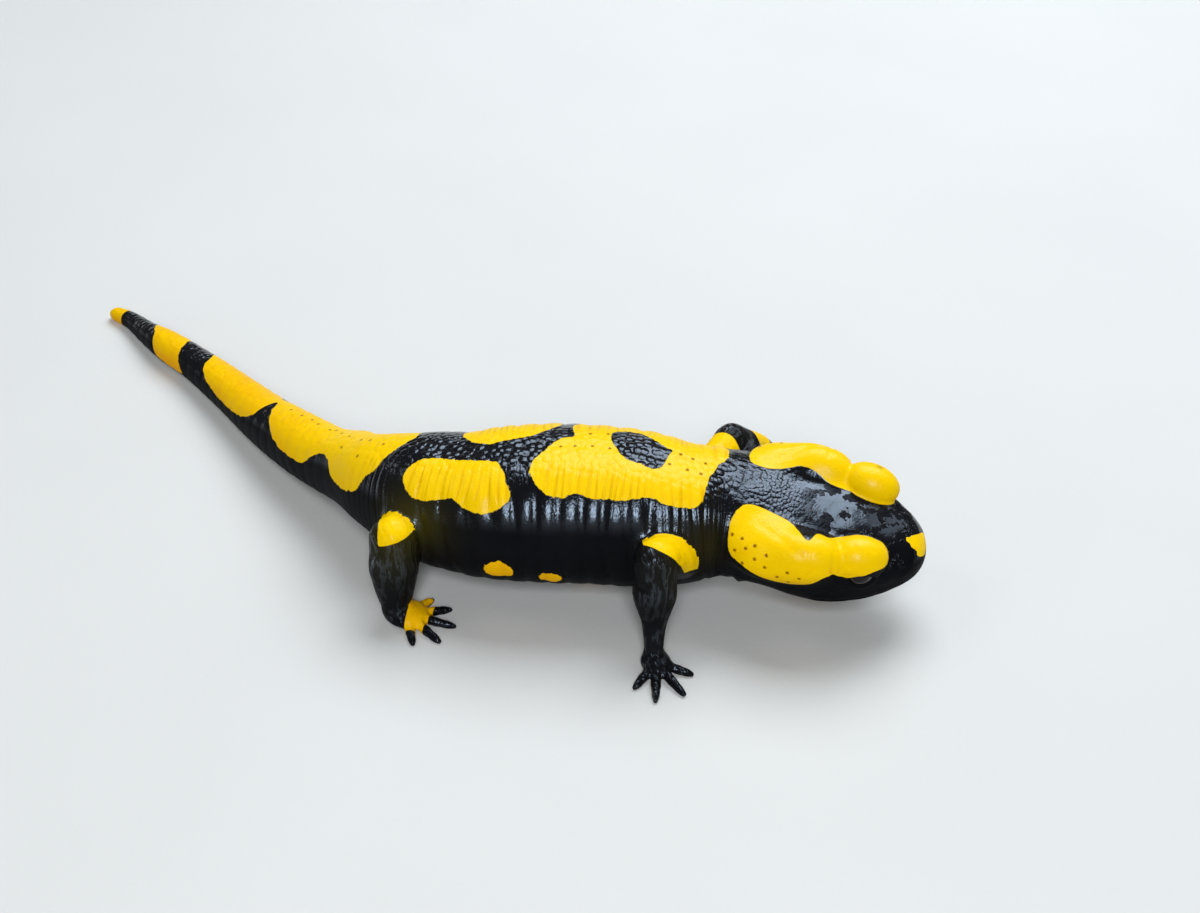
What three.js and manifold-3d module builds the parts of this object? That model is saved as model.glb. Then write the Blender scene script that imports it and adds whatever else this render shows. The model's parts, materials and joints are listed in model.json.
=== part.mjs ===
// A fire salamander (Salamandra salamandra), life size, in mid-step.
// Millimetres. +X is the way it walks, +Y its left, +Z up. The origin lies on the floor, under the
// middle of the animal's box.
// The body is one long loft from snout to tail tip, parted by thin gaps where a person would name
// its parts. Glands and eyelids are joined to the head, and the legs are fitted against the flanks.
import * as THREE from "three";
import { mergeVertices } from "three/addons/utils/BufferGeometryUtils.js";
import Module from "manifold-3d";

const wasm = await Module();
wasm.setup();

// ---------------------------------------------------------------- driving dimensions

const GAP = 0.3; // clear space between neighbouring pieces
const BODY_SIDES = 22; // facets round the body
const RINGS_PER_STATION = 2; // rings from one station of the body to the next

// Facets of round pieces: first around, then from end to end.
const UPPER_LIMB_FACETS = [10, 2];
const LOWER_LIMB_FACETS = [10, 4];
const DIGIT_FACETS = [6, 3];
const SWELLING_FACETS = [11, 7]; // a gland or an eyelid
const EYE_FACETS = [12, 8];
const BEND_FACETS = [9, 6]; // an elbow or knee
const WRIST_FACETS = [8, 4]; // a wrist or ankle
const PALM_FACETS = [10, 6];

// The head's own frame: the snout tip, and three turns that aim it.
const HEAD = {
  snout: new THREE.Vector3(63.0, -27.0, 9.6),
  yaw: 13.4, // degrees, turned towards the right side
  pitch: 4.3, // nose down
  roll: 12.6, // right cheek down
};

// Sections of the head and neck, square to the head's axis.
// back: distance behind the snout tip. half: half width. rise, drop: height above and below the axis.
const HEAD_SECTIONS = [
  { back: 0.0, half: 0.0, rise: 0.0, drop: 0.0, roll: 12.6 },
  { back: 0.4, half: 2.2, rise: 1.5, drop: 1.6, roll: 12.6 },
  { back: 1.4, half: 4.0, rise: 2.5, drop: 2.7, roll: 12.6 },
  { back: 3.2, half: 5.6, rise: 3.4, drop: 3.7, roll: 12.6 },
  { back: 5.6, half: 7.2, rise: 4.2, drop: 4.8, roll: 12.6 },
  { back: 8.6, half: 8.6, rise: 4.9, drop: 5.8, roll: 12.6 },
  { back: 12.0, half: 9.5, rise: 5.4, drop: 6.4, roll: 12.6 },
  { back: 16.0, half: 9.7, rise: 5.9, drop: 6.0, roll: 12.4 },
  { back: 20.0, half: 9.2, rise: 6.4, drop: 5.9, roll: 11.5 },
  { back: 24.0, half: 8.9, rise: 6.9, drop: 6.6, roll: 9.5 },
];

// Sections of the trunk and tail, each square to the spine at its own place.
const BODY_SECTIONS = [
  { at: [35.9, -20.6, 11.5], half: 9.2, rise: 7.9, drop: 7.6, roll: 7.0 },
  { at: [30.5, -20.6, 11.5], half: 9.9, rise: 9.2, drop: 9.1, roll: 4.0 },
  { at: [25.1, -19.9, 11.6], half: 10.9, rise: 9.8, drop: 9.9, roll: 2.0 },
  { at: [19.7, -19.1, 11.6], half: 11.3, rise: 9.9, drop: 9.9, roll: 0.0 },
  { at: [13.2, -18.7, 11.6], half: 11.5, rise: 9.9, drop: 9.9, roll: 0.0 },
  { at: [6.1, -18.5, 11.4], half: 10.9, rise: 9.6, drop: 9.6, roll: 0.0 },
  { at: [1.2, -17.7, 11.0], half: 10.0, rise: 8.9, drop: 9.1, roll: 0.0 },
  { at: [-4.1, -16.0, 10.4], half: 8.9, rise: 8.9, drop: 8.2, roll: 0.0 },
  { at: [-9.7, -12.7, 9.6], half: 6.9, rise: 7.6, drop: 6.3, roll: 0.0 },
  { at: [-14.1, -8.7, 8.6], half: 5.5, rise: 6.0, drop: 4.9, roll: 0.0 },
  { at: [-18.5, -4.4, 7.3], half: 4.8, rise: 4.9, drop: 4.6, roll: 0.0 },
  { at: [-24.4, 2.1, 5.7], half: 4.5, rise: 4.6, drop: 4.5, roll: 0.0 },
  { at: [-30.6, 9.6, 4.2], half: 4.0, rise: 4.0, drop: 4.0, roll: 0.0 },
  { at: [-37.9, 18.8, 3.2], half: 3.3, rise: 3.35, drop: 3.35, roll: 0.0 },
  { at: [-44.9, 26.9, 2.6], half: 2.75, rise: 2.75, drop: 2.75, roll: 0.0 },
  { at: [-50.7, 32.5, 2.4], half: 2.5, rise: 2.5, drop: 2.55, roll: 0.0 },
  { at: [-54.9, 37.0, 1.8], half: 1.9, rise: 1.95, drop: 1.95, roll: 0.0 },
  { at: [-58.5, 41.3, 1.35], half: 1.45, rise: 1.45, drop: 1.5, roll: 0.0 },
  { at: [-60.9, 43.4, 1.1], half: 1.25, rise: 1.25, drop: 1.25, roll: 0.0 },
  { at: [-62.5, 44.4, 0.95], half: 1.0, rise: 1.0, drop: 1.0, roll: 0.0 },
  { at: [-63.1, 44.7, 0.9], half: 0.0, rise: 0.0, drop: 0.0, roll: 0.0 },
];

// How square a section is: 2 is an ellipse, and more fills out its corners.
const HEAD_SQUARENESS = 2.5;
const BODY_SQUARENESS = 2.15;

// Where the loft is parted, as station numbers counted from the snout.
const PARTINGS = {
  head_neck: 8.55,
  neck_trunk: 10.6,
  trunk_tail: 18.5,
  tail_front: 21.6,
  tail_rear: 24.3,
};

// The lower jaw is cut off along a line that rises forward from the mouth's corners to the lips.
const MOUTH = { back: 14.2, height: -2.4, tilt: 5 };
const CUTTER_REACH = 30; // how far the block that cuts off the jaw reaches past it

// The two parts of each parotoid gland, the eyelid above each eye, and the eyes. They are in the
// head's own frame: back, side, up. The left lid and eye stand a little higher than the right ones.
const PAROTOID_REAR = { at: [19.9, 6.9, 3.1], half: [6.1, 4.1, 3.4], toe: 0, bank: -18 };
const RIGHT_SIDE = {
  sign: -1,
  swellings: [
    PAROTOID_REAR,
    { at: [15.2, 7.5, 3.9], half: [5.2, 3.3, 3.5], toe: 8, bank: -18 },
    { at: [8.7, 5.8, 3.9], half: [4.0, 2.9, 2.9], toe: 14, bank: -14 },
  ],
  eye: [8.3, 6.6, 2.7],
};
const LEFT_SIDE = {
  sign: 1,
  swellings: [
    PAROTOID_REAR,
    { at: [15.9, 7.2, 3.9], half: [5.2, 3.3, 3.5], toe: 8, bank: -18 },
    { at: [9.0, 6.2, 4.4], half: [4.0, 2.9, 2.9], toe: 9, bank: -14 },
  ],
  eye: [8.5, 6.9, 3.1],
};
const EYE_RADIUS = 2.1;

// Limbs: the joint inside the body, the elbow or knee, and the wrist or ankle. radii: at the joint
// inside the body, the bend, the calf, the shin and the wrist. heading aims the hand or foot.
const LIMBS = {
  front_right: {
    socket: [32.5, -25.1, 9.0],
    bend: [26.9, -33.1, 13.7],
    end: [26.7, -37.5, 2.3],
    radii: [3.1, 2.8, 2.85, 1.64, 1.25],
    heading: -74,
  },
  front_left: {
    socket: [32.5, -14.3, 9.2],
    bend: [38.6, -4.2, 10.7],
    end: [48.1, 1.7, 2.5],
    radii: [3.1, 2.7, 2.5, 1.6, 1.3],
    heading: 50,
  },
  hind_right: {
    socket: [-4.3, -18.9, 8.2],
    bend: [-7.8, -26.1, 11.4],
    end: [-7.8, -29.1, 2.4],
    radii: [3.5, 3.1, 3.35, 2.8, 2.0],
    heading: -18,
  },
  hind_left: {
    socket: [-7.9, -9.7, 8.2],
    bend: [-14.3, -3.1, 8.2],
    end: [-16.7, 2.1, 2.4],
    radii: [3.4, 2.9, 2.7, 2.2, 1.6],
    heading: 66,
  },
};

// Places along the lower limb, as shares of its length from the bend to the wrist or ankle.
const CALF_PLACE = 0.38;
const SHIN_PLACE = 0.7;
const LOWER_LIMB_START = 0.95; // its thickness there, as a share of the bend's

// Hands have four fingers and feet five toes, fanned about the heading of the limb's end.
const HAND = {
  palm: [2.4, 2.0, 1.15],
  fan: [-56, -18, 18, 52],
  lengths: [3.6, 4.9, 5.0, 3.6],
  radius: 0.72,
};
const FOOT = {
  palm: [2.9, 2.6, 1.3],
  fan: [-66, -34, -4, 26, 58],
  lengths: [3.2, 4.5, 5.2, 5.0, 3.6],
  radius: 0.74,
};

// A digit's thickness along its length: share of the length, share of the root's radius.
const DIGIT_PROFILE = [[0, 1], [0.5, 0.88], [0.92, 0.65], [1, 0.4]];
const DIGIT_ROOT_HEIGHT = 1.15; // as a share of its radius
const DIGIT_TIP_HEIGHT = 0.65;
const PALM_REACH = 0.5; // from the wrist to the palm's middle, as a share of the palm's half length
const SOLE_SINK = 0.14; // how much of a sole is flattened away by the floor
const FLOOR_BLOCK = [300, 300, 20]; // takes away what would lie under the floor
const STEEP = 0.9; // a limb whose direction rises this much is framed by the walking direction

const SKIN = { color: 0x17171a, roughness: 0.3, metalness: 0 };
const CORNEA = { color: 0x0a0808, roughness: 0.08, metalness: 0 };

// ---------------------------------------------------------------- frames and sections

const UP = new THREE.Vector3(0, 0, 1);
const WALK = new THREE.Vector3(1, 0, 0);
const radians = THREE.MathUtils.degToRad;

// Axes (forward, left, up) of a section whose forward is given, rolled right side down.
function sectionAxes(forward, rollDegrees) {
  const level = new THREE.Vector3().crossVectors(UP, forward).normalize();
  const left = level.applyAxisAngle(forward, radians(rollDegrees));
  return { forward, left, up: new THREE.Vector3().crossVectors(forward, left) };
}

function headForward() {
  const yaw = radians(HEAD.yaw);
  const pitch = radians(HEAD.pitch);
  return new THREE.Vector3(
    Math.cos(pitch) * Math.cos(yaw),
    -Math.cos(pitch) * Math.sin(yaw),
    -Math.sin(pitch),
  );
}

const HEAD_AXES = sectionAxes(headForward(), HEAD.roll);

// A matrix that takes head coordinates (x forward, y left, z up, from the snout tip) to the world.
const HEAD_FRAME = new THREE.Matrix4()
  .makeBasis(HEAD_AXES.forward, HEAD_AXES.left, HEAD_AXES.up)
  .setPosition(HEAD.snout);

function bodyStations() {
  const head = HEAD_SECTIONS.map((s) => ({
    ...s,
    point: HEAD.snout.clone().addScaledVector(HEAD_AXES.forward, -s.back),
    square: HEAD_SQUARENESS,
  }));
  const rest = BODY_SECTIONS.map((s) => ({
    ...s,
    point: new THREE.Vector3(...s.at),
    square: BODY_SQUARENESS,
  }));
  return [...head, ...rest];
}

const STATIONS = bodyStations();
const smooth = (points) => new THREE.CatmullRomCurve3(points, false, "catmullrom", 0.5);
const SPINE = smooth(STATIONS.map((s) => s.point));
const GIRTHS = smooth(STATIONS.map((s) => new THREE.Vector3(s.half, s.rise, s.drop)));
const TWISTS = smooth(STATIONS.map((s) => new THREE.Vector3(s.roll, s.square, 0)));

// One ring of the body at a station number, grown outwards by a margin and moved along the spine.
function bodyRing(station, margin = 0, along = 0) {
  const t = station / (STATIONS.length - 1);
  const girth = GIRTHS.getPoint(t);
  const twist = TWISTS.getPoint(t);
  const { forward, left, up } = sectionAxes(SPINE.getTangent(t).negate(), twist.x);
  const centre = SPINE.getPoint(t).addScaledVector(forward, -along);
  const squared = (value) => Math.sign(value) * Math.abs(value) ** (2 / twist.y);
  const grown = (reach) => Math.max(reach, 0) + margin;
  return Array.from({ length: BODY_SIDES }, (_, i) => {
    const angle = (2 * Math.PI * i) / BODY_SIDES;
    const across = squared(Math.cos(angle)) * grown(girth.x);
    const height = squared(Math.sin(angle)) * grown(Math.sin(angle) > 0 ? girth.y : girth.z);
    return centre.clone().addScaledVector(left, across).addScaledVector(up, height);
  });
}

// ---------------------------------------------------------------- solids

// A closed skin over rings of equal length, with a point or a flat at each end.
function loft(rings) {
  const sides = rings[0].length;
  const average = (ring) =>
    ring.reduce((sum, p) => sum.add(p), new THREE.Vector3()).divideScalar(sides);
  const points = [...rings.flat(), average(rings[0]), average(rings[rings.length - 1])];
  const head = rings.length * sides;
  const index = [];
  for (let i = 0; i < sides; i += 1) {
    const j = (i + 1) % sides;
    for (let r = 0; r < rings.length - 1; r += 1) {
      const a = r * sides;
      const b = a + sides;
      index.push(a + i, b + i, a + j, a + j, b + i, b + j);
    }
    const last = (rings.length - 1) * sides;
    index.push(head, i, j);
    index.push(head + 1, last + j, last + i);
  }
  const geometry = new THREE.BufferGeometry().setFromPoints(points);
  geometry.setIndex(index);
  return geometry;
}

// A geometry as a manifold solid, its faces turned outwards.
function solid(geometry) {
  const bare = new THREE.BufferGeometry();
  bare.setAttribute("position", geometry.getAttribute("position"));
  bare.setIndex(geometry.getIndex());
  const merged = mergeVertices(bare, 1e-4);
  const corners = Array.from(merged.getIndex().array);
  const triangles = [];
  for (let i = 0; i < corners.length; i += 3) {
    const [a, b, c] = corners.slice(i, i + 3);
    if (a !== b && b !== c && c !== a) triangles.push(a, b, c);
  }
  const build = (order) =>
    new wasm.Manifold(
      new wasm.Mesh({
        numProp: 3,
        vertProperties: merged.getAttribute("position").array,
        triVerts: new Uint32Array(order),
      }),
    );
  const made = build(triangles);
  return made.volume() > 0 ? made : build(triangles.reverse());
}

function geometryOf(body) {
  const mesh = body.getMesh();
  const geometry = new THREE.BufferGeometry();
  geometry.setAttribute("position", new THREE.BufferAttribute(mesh.vertProperties, 3));
  geometry.setIndex(new THREE.BufferAttribute(mesh.triVerts, 1));
  const flat = geometry.toNonIndexed();
  flat.computeVertexNormals();
  return flat;
}

const largest = (body) => body.decompose().sort((a, b) => b.volume() - a.volume())[0];

// The body between two station numbers, short of each parting by half a gap, and open to a margin.
function bodyLength(from, to, margin = 0) {
  const steps = Math.max(2, Math.round((to - from) * RINGS_PER_STATION));
  const first = from === 0 ? 0 : GAP / 2;
  const last = to === STATIONS.length - 1 ? 0 : -GAP / 2;
  const rings = Array.from({ length: steps + 1 }, (_, i) => {
    const along = i === 0 ? first : i === steps ? last : 0;
    return bodyRing(from + ((to - from) * i) / steps, margin, along);
  });
  return solid(loft(rings));
}

function box(size, matrix) {
  return solid(new THREE.BoxGeometry(...size).applyMatrix4(matrix));
}

// Taking away what lies under the floor leaves the small flats that the animal rests on.
const UNDER_FLOOR = box(FLOOR_BLOCK, new THREE.Matrix4().makeTranslation(0, 0, -FLOOR_BLOCK[2] / 2));

// The neck, trunk and tail base with a gap's room around them: what the head and legs fit against.
const FLANKS = bodyLength(PARTINGS.head_neck, PARTINGS.tail_front, GAP);

// ---------------------------------------------------------------- head

// An ellipsoid on the head. side is 1 for the left and -1 for the right.
function headEllipsoid({ at, half, toe, bank }, side, margin = 0, facets = SWELLING_FACETS) {
  const place = new THREE.Matrix4().makeTranslation(-at[0], side * at[1], at[2]);
  const turn = new THREE.Matrix4().makeRotationFromEuler(
    new THREE.Euler(side * radians(bank), 0, -side * radians(toe), "ZYX"),
  );
  const stretch = new THREE.Matrix4().makeScale(...half.map((h) => h + margin));
  return solid(
    new THREE.SphereGeometry(1, ...facets).applyMatrix4(
      HEAD_FRAME.clone().multiply(place).multiply(turn).multiply(stretch),
    ),
  );
}

function eyeball({ sign, eye }, margin = 0) {
  const ball = { at: eye, half: [EYE_RADIUS, EYE_RADIUS, EYE_RADIUS], toe: 0, bank: 0 };
  return headEllipsoid(ball, sign, margin, EYE_FACETS);
}

// Everything below the mouth line and ahead of its corners, as a block hung from the corners' line.
function jawRegion(margin) {
  const size = [MOUTH.back + CUTTER_REACH, 2 * CUTTER_REACH, CUTTER_REACH];
  const corners = new THREE.Matrix4().makeTranslation(-MOUTH.back - margin, 0, MOUTH.height + margin);
  const tilt = new THREE.Matrix4().makeRotationY(radians(-MOUTH.tilt));
  const hang = new THREE.Matrix4().makeTranslation(size[0] / 2, 0, -size[2] / 2);
  return box(size, HEAD_FRAME.clone().multiply(corners).multiply(tilt).multiply(hang));
}

function headParts() {
  let skull = bodyLength(0, PARTINGS.head_neck);
  for (const { sign, swellings } of [LEFT_SIDE, RIGHT_SIDE]) {
    for (const swelling of swellings) {
      skull = skull.add(headEllipsoid(swelling, sign));
    }
  }
  skull = skull.subtract(FLANKS);
  for (const side of [LEFT_SIDE, RIGHT_SIDE]) {
    skull = skull.subtract(eyeball(side, GAP));
  }
  return {
    head: largest(skull.subtract(jawRegion(GAP))),
    lower_jaw: largest(skull.intersect(jawRegion(0))),
    eye_left: eyeball(LEFT_SIDE),
    eye_right: eyeball(RIGHT_SIDE),
  };
}

// ---------------------------------------------------------------- legs

// A round straight tube. The profile gives its radius at shares of its length, grown by a margin.
function taper(from, to, profile, margin, [sides, count]) {
  const start = new THREE.Vector3(...from);
  const run = new THREE.Vector3(...to).sub(start);
  const forward = run.clone().normalize();
  const steady = Math.abs(forward.z) > STEEP ? WALK : UP;
  const side = new THREE.Vector3().crossVectors(forward, steady).normalize();
  const other = new THREE.Vector3().crossVectors(forward, side);
  const girth = smooth(profile.map(([share, radius]) => new THREE.Vector3(share, radius + margin, 0)));
  const rings = Array.from({ length: count + 1 }, (_, k) => {
    const { x: share, y: radius } = girth.getPoint(k / count);
    const centre = start.clone().addScaledVector(run, share);
    return Array.from({ length: sides }, (_unused, i) => {
      const angle = (2 * Math.PI * i) / sides;
      return centre
        .clone()
        .addScaledVector(side, radius * Math.cos(angle))
        .addScaledVector(other, radius * Math.sin(angle));
    });
  });
  return solid(loft(rings));
}

function ball(point, radius, facets) {
  const place = new THREE.Matrix4().makeTranslation(...point);
  const stretch = new THREE.Matrix4().makeScale(radius, radius, radius);
  return solid(new THREE.SphereGeometry(1, ...facets).applyMatrix4(place.multiply(stretch)));
}

// The upper limb, from inside the body to the round of the elbow or knee.
function upperLimb({ socket, bend, radii: [root, joint] }, margin = 0) {
  const profile = [[0, root], [1, joint]];
  const tube = taper(socket, bend, profile, margin, UPPER_LIMB_FACETS);
  return tube.add(ball(bend, joint + margin, BEND_FACETS));
}

// The lower limb, from the elbow or knee to the round of the wrist or ankle.
function lowerLimb({ bend, end, radii: [, joint, calf, shin, wrist] }, margin = 0) {
  const profile = [[0, joint * LOWER_LIMB_START], [CALF_PLACE, calf], [SHIN_PLACE, shin], [1, wrist]];
  const tube = taper(bend, end, profile, margin, LOWER_LIMB_FACETS);
  return tube.add(ball(end, wrist + margin, WRIST_FACETS));
}

// A tapering digit that lies on the floor and ends in a blunt tip. The root is a floor position.
function digit([x, y], heading, length, radius) {
  const root = [x, y, radius * DIGIT_ROOT_HEIGHT];
  const tip = [
    x + length * Math.cos(heading),
    y + length * Math.sin(heading),
    radius * DIGIT_TIP_HEIGHT - SOLE_SINK,
  ];
  const profile = DIGIT_PROFILE.map(([share, fullness]) => [share, radius * fullness]);
  return taper(root, tip, profile, 0, DIGIT_FACETS);
}

// A hand or foot at the end of a limb: a flat palm and its fan of digits, flattened by the floor.
function extremity(wrist, headingDegrees, form, side) {
  const heading = radians(headingDegrees);
  const ahead = form.palm[0] * PALM_REACH;
  const centre = [
    wrist[0] + ahead * Math.cos(heading),
    wrist[1] + ahead * Math.sin(heading),
    form.palm[2] - SOLE_SINK,
  ];
  const palm = new THREE.Matrix4()
    .makeTranslation(...centre)
    .multiply(new THREE.Matrix4().makeRotationZ(heading))
    .multiply(new THREE.Matrix4().makeScale(...form.palm));
  let made = solid(new THREE.SphereGeometry(1, ...PALM_FACETS).applyMatrix4(palm));
  form.fan.forEach((spread, i) => {
    const angle = heading + side * radians(spread);
    const root = [centre[0] + ahead * Math.cos(angle), centre[1] + ahead * Math.sin(angle)];
    made = made.add(digit(root, angle, form.lengths[i], form.radius));
  });
  return made.subtract(UNDER_FLOOR);
}

function limbParts(name, limb) {
  const isFront = name.startsWith("front");
  const [upper, lower, last] = isFront ? ["upper_arm", "forearm", "hand"] : ["thigh", "shank", "foot"];
  const side = name.endsWith("left") ? 1 : -1;
  const paw = extremity(limb.end, limb.heading, isFront ? HAND : FOOT, side);
  return {
    [`${name}_${upper}`]: largest(upperLimb(limb).subtract(FLANKS)),
    [`${name}_${lower}`]: largest(lowerLimb(limb).subtract(upperLimb(limb, GAP)).subtract(FLANKS)),
    [`${name}_${last}`]: largest(paw.subtract(lowerLimb(limb, GAP))),
  };
}

// ---------------------------------------------------------------- assembly

function bodyParts() {
  const last = STATIONS.length - 1;
  return {
    neck: bodyLength(PARTINGS.head_neck, PARTINGS.neck_trunk),
    trunk: bodyLength(PARTINGS.neck_trunk, PARTINGS.trunk_tail),
    tail_base: bodyLength(PARTINGS.trunk_tail, PARTINGS.tail_front).subtract(UNDER_FLOOR),
    tail_middle: bodyLength(PARTINGS.tail_front, PARTINGS.tail_rear).subtract(UNDER_FLOOR),
    tail_tip: bodyLength(PARTINGS.tail_rear, last).subtract(UNDER_FLOOR),
  };
}

const salamander = new THREE.Group();
const pieces = { ...headParts(), ...bodyParts() };
for (const [name, limb] of Object.entries(LIMBS)) Object.assign(pieces, limbParts(name, limb));
for (const [name, body] of Object.entries(pieces)) {
  const finish = name.startsWith("eye") ? CORNEA : SKIN;
  const mesh = new THREE.Mesh(geometryOf(body), new THREE.MeshStandardMaterial(finish));
  mesh.name = name;
  salamander.add(mesh);
}

export default salamander;
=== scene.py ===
"""A fire salamander in mid-step, life size: a still museum model.

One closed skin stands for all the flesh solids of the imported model, and two glossy eyes for its eyes.
The classes below work in millimetres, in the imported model's frame; finished pieces are in metres.
"""

import itertools
import json
import logging
import math
from dataclasses import dataclass, field
from enum import Enum
from typing import Iterator, Sequence

import bpy
import numpy as np
from mathutils import Matrix, Vector

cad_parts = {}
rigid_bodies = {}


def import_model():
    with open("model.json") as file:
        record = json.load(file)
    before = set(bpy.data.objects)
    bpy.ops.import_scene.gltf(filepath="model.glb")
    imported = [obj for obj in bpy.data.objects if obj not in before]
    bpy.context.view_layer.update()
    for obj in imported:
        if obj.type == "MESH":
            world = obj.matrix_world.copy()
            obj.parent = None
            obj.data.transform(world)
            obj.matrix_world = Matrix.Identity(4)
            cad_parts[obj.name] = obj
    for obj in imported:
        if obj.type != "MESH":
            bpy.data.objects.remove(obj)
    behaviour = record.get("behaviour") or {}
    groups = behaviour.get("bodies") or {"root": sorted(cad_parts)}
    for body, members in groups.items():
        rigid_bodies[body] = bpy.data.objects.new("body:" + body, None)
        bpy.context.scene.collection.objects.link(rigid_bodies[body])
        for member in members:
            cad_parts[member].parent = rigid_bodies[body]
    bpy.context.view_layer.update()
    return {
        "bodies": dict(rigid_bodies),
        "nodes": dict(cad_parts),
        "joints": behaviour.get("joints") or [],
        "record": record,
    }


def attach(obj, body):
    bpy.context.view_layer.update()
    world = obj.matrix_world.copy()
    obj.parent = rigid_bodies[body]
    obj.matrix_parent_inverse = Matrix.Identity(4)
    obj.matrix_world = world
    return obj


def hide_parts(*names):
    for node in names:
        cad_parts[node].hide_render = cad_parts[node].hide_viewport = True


LOG = logging.getLogger("salamander")
MM = 0.001  # metres in a millimetre
BATCH = 4000  # points worked on at a time
TINY = 1e-9  # keeps a division from failing
OFF_LINE = 1e-6  # millimetres, so that no point lies on the body's line itself
FAR = 5.0  # millimetres outside every marking
HALF_TURN = 180  # degrees
CELL_KEYS = (73856093, 19349663, 83492791)  # they and the mixer scatter a cell's place
CELL_MIXER = 2654435761
CELL_SHIFT = 15
CELL_BITS = 0xFFFFFFFF
LOW_BITS = 0xFFFF

Point = tuple[float, float, float]
Span = tuple[float, float]
Colour = tuple[float, float, float, float]
Rows = tuple[tuple[float, ...], ...]


# ---------------------------------------------------------------- arithmetic on many points


def ease(low: float, high: float, value: np.ndarray) -> np.ndarray:
    """A smooth step from 0 at low to 1 at high."""
    share = np.clip((value - low) / (high - low), 0.0, 1.0)
    return share * share * (3.0 - 2.0 * share)


def hill(centre: float, width: float, value: np.ndarray) -> np.ndarray:
    """A bell of height 1 at centre."""
    return np.exp(-(((value - centre) / width) ** 2))


def fused(first: np.ndarray, second: np.ndarray, reach: float) -> np.ndarray:
    """The union of two distance fields, rounded where they meet.

    Args:
        first: signed distances to one solid, negative inside.
        second: signed distances to the other solid.
        reach: how far from the meeting line the rounding starts.

    Returns:
        Signed distances to the rounded union.
    """
    overlap = np.clip(reach - np.abs(first - second), 0.0, None) / reach
    return np.minimum(first, second) - overlap * overlap * reach * 0.25


def between(knots: Sequence[np.ndarray], share: np.ndarray) -> np.ndarray:
    """A smooth curve between the middle two of four knots.

    Args:
        knots: the knot before, the two knots and the knot after, with one row for each place.
        share: how far each place has come from the second knot to the third, from 0 to 1.

    Returns:
        One row per place.
    """
    before, start, end, after = knots
    leave, arrive = 0.5 * (end - before), 0.5 * (after - start)
    cubic = (2 * start - 2 * end + leave + arrive) * share**3
    return cubic + (3 * end - 3 * start - 2 * leave - arrive) * share**2 + leave * share + start


def through(knots: np.ndarray, place: np.ndarray) -> np.ndarray:
    """A smooth curve through evenly numbered knots.

    Args:
        knots: one row per knot.
        place: knot numbers, whole or in between.

    Returns:
        One row per place.
    """
    last = len(knots) - 1
    place = np.clip(place, 0, last)
    index = np.minimum(place.astype(int), last - 1)
    share = (place - index)[:, None]
    before = np.vstack([2 * knots[0] - knots[1], knots])[index]
    after = np.vstack([knots, 2 * knots[last] - knots[last - 1]])[index + 2]
    return between((before, knots[index], knots[index + 1], after), share)


def closed_curve(outline: Rows, steps: int = 5) -> np.ndarray:
    """A smooth closed curve through the corners of an outline.

    Args:
        outline: the corners in order.
        steps: points per corner.

    Returns:
        The curve's points, one row each.
    """
    corners = np.array(outline, float)
    place = np.arange(len(corners) * steps) / steps
    index = place.astype(int)
    share = (place - index)[:, None]
    knots = [corners[(index + shift) % len(corners)] for shift in (-1, 0, 1, 2)]
    return between(knots, share)


def inside_distance(points: np.ndarray, ring: np.ndarray) -> np.ndarray:
    """Signed distances from points to a closed ring in a plane, negative inside.

    Args:
        points: one row of two numbers per point.
        ring: the ring's points in order.

    Returns:
        One signed distance per point, FAR where it is well outside.
    """
    result = np.full(len(points), FAR)
    near = np.all((points > ring.min(0) - FAR) & (points < ring.max(0) + FAR), axis=1)
    following = np.roll(ring, -1, axis=0)
    run = following - ring
    for part in np.array_split(np.nonzero(near)[0], max(1, near.sum() // BATCH)):
        offset = points[part][:, None] - ring[None]
        share = np.clip((offset * run).sum(-1) / ((run * run).sum(-1) + TINY), 0, 1)
        gap = np.sqrt(((offset - run * share[..., None]) ** 2).sum(-1)).min(1)
        x, y = points[part, 0][:, None], points[part, 1][:, None]
        spans = (ring[:, 1] > y) != (following[:, 1] > y)
        rise = np.where(np.abs(run[:, 1]) < TINY, TINY, run[:, 1])
        crossed = spans & (x < ring[:, 0] + (y - ring[:, 1]) / rise * run[:, 0])
        result[part] = np.where(crossed.sum(1) % 2 == 1, -gap, np.minimum(gap, FAR))
    return result


def speckle(points: np.ndarray, width: float, seed: float) -> np.ndarray:
    """Smooth random numbers between about -1 and 1.

    Args:
        points: places, one row each.
        width: the width of a bump.
        seed: another number gives another pattern.

    Returns:
        One number per place.
    """
    scaled = points / width + seed
    cell = np.floor(scaled).astype(np.int64)
    share = ease(0.0, 1.0, scaled - cell)
    total = np.zeros(len(points))
    for corner in itertools.product((0, 1), repeat=3):
        mixed = (cell + corner) * CELL_KEYS
        mixed = mixed[:, 0] ^ mixed[:, 1] ^ mixed[:, 2]
        mixed = (mixed * CELL_MIXER) & CELL_BITS
        value = 2.0 * ((mixed ^ (mixed >> CELL_SHIFT)) & LOW_BITS) / LOW_BITS - 1.0
        total += value * np.prod(np.where(corner, share, 1.0 - share), axis=1)
    return total


@dataclass(frozen=True)
class Bumps:
    """Unevenness without order: the width and height of a bump, and the seed of its pattern."""

    width: float
    height: float
    seed: float = 0.0

    def over(self, points: np.ndarray) -> np.ndarray:
        """Its height at places."""
        return self.height * speckle(points, self.width, self.seed)


@dataclass(frozen=True)
class Ridge:
    """A raised line of the skin, or a furrow where its height is negative."""

    middle: float
    width: float
    height: float

    def over(self, value: np.ndarray) -> np.ndarray:
        """Its height, given a value that grows across it."""
        return self.height * hill(self.middle, self.width, value)


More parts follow.
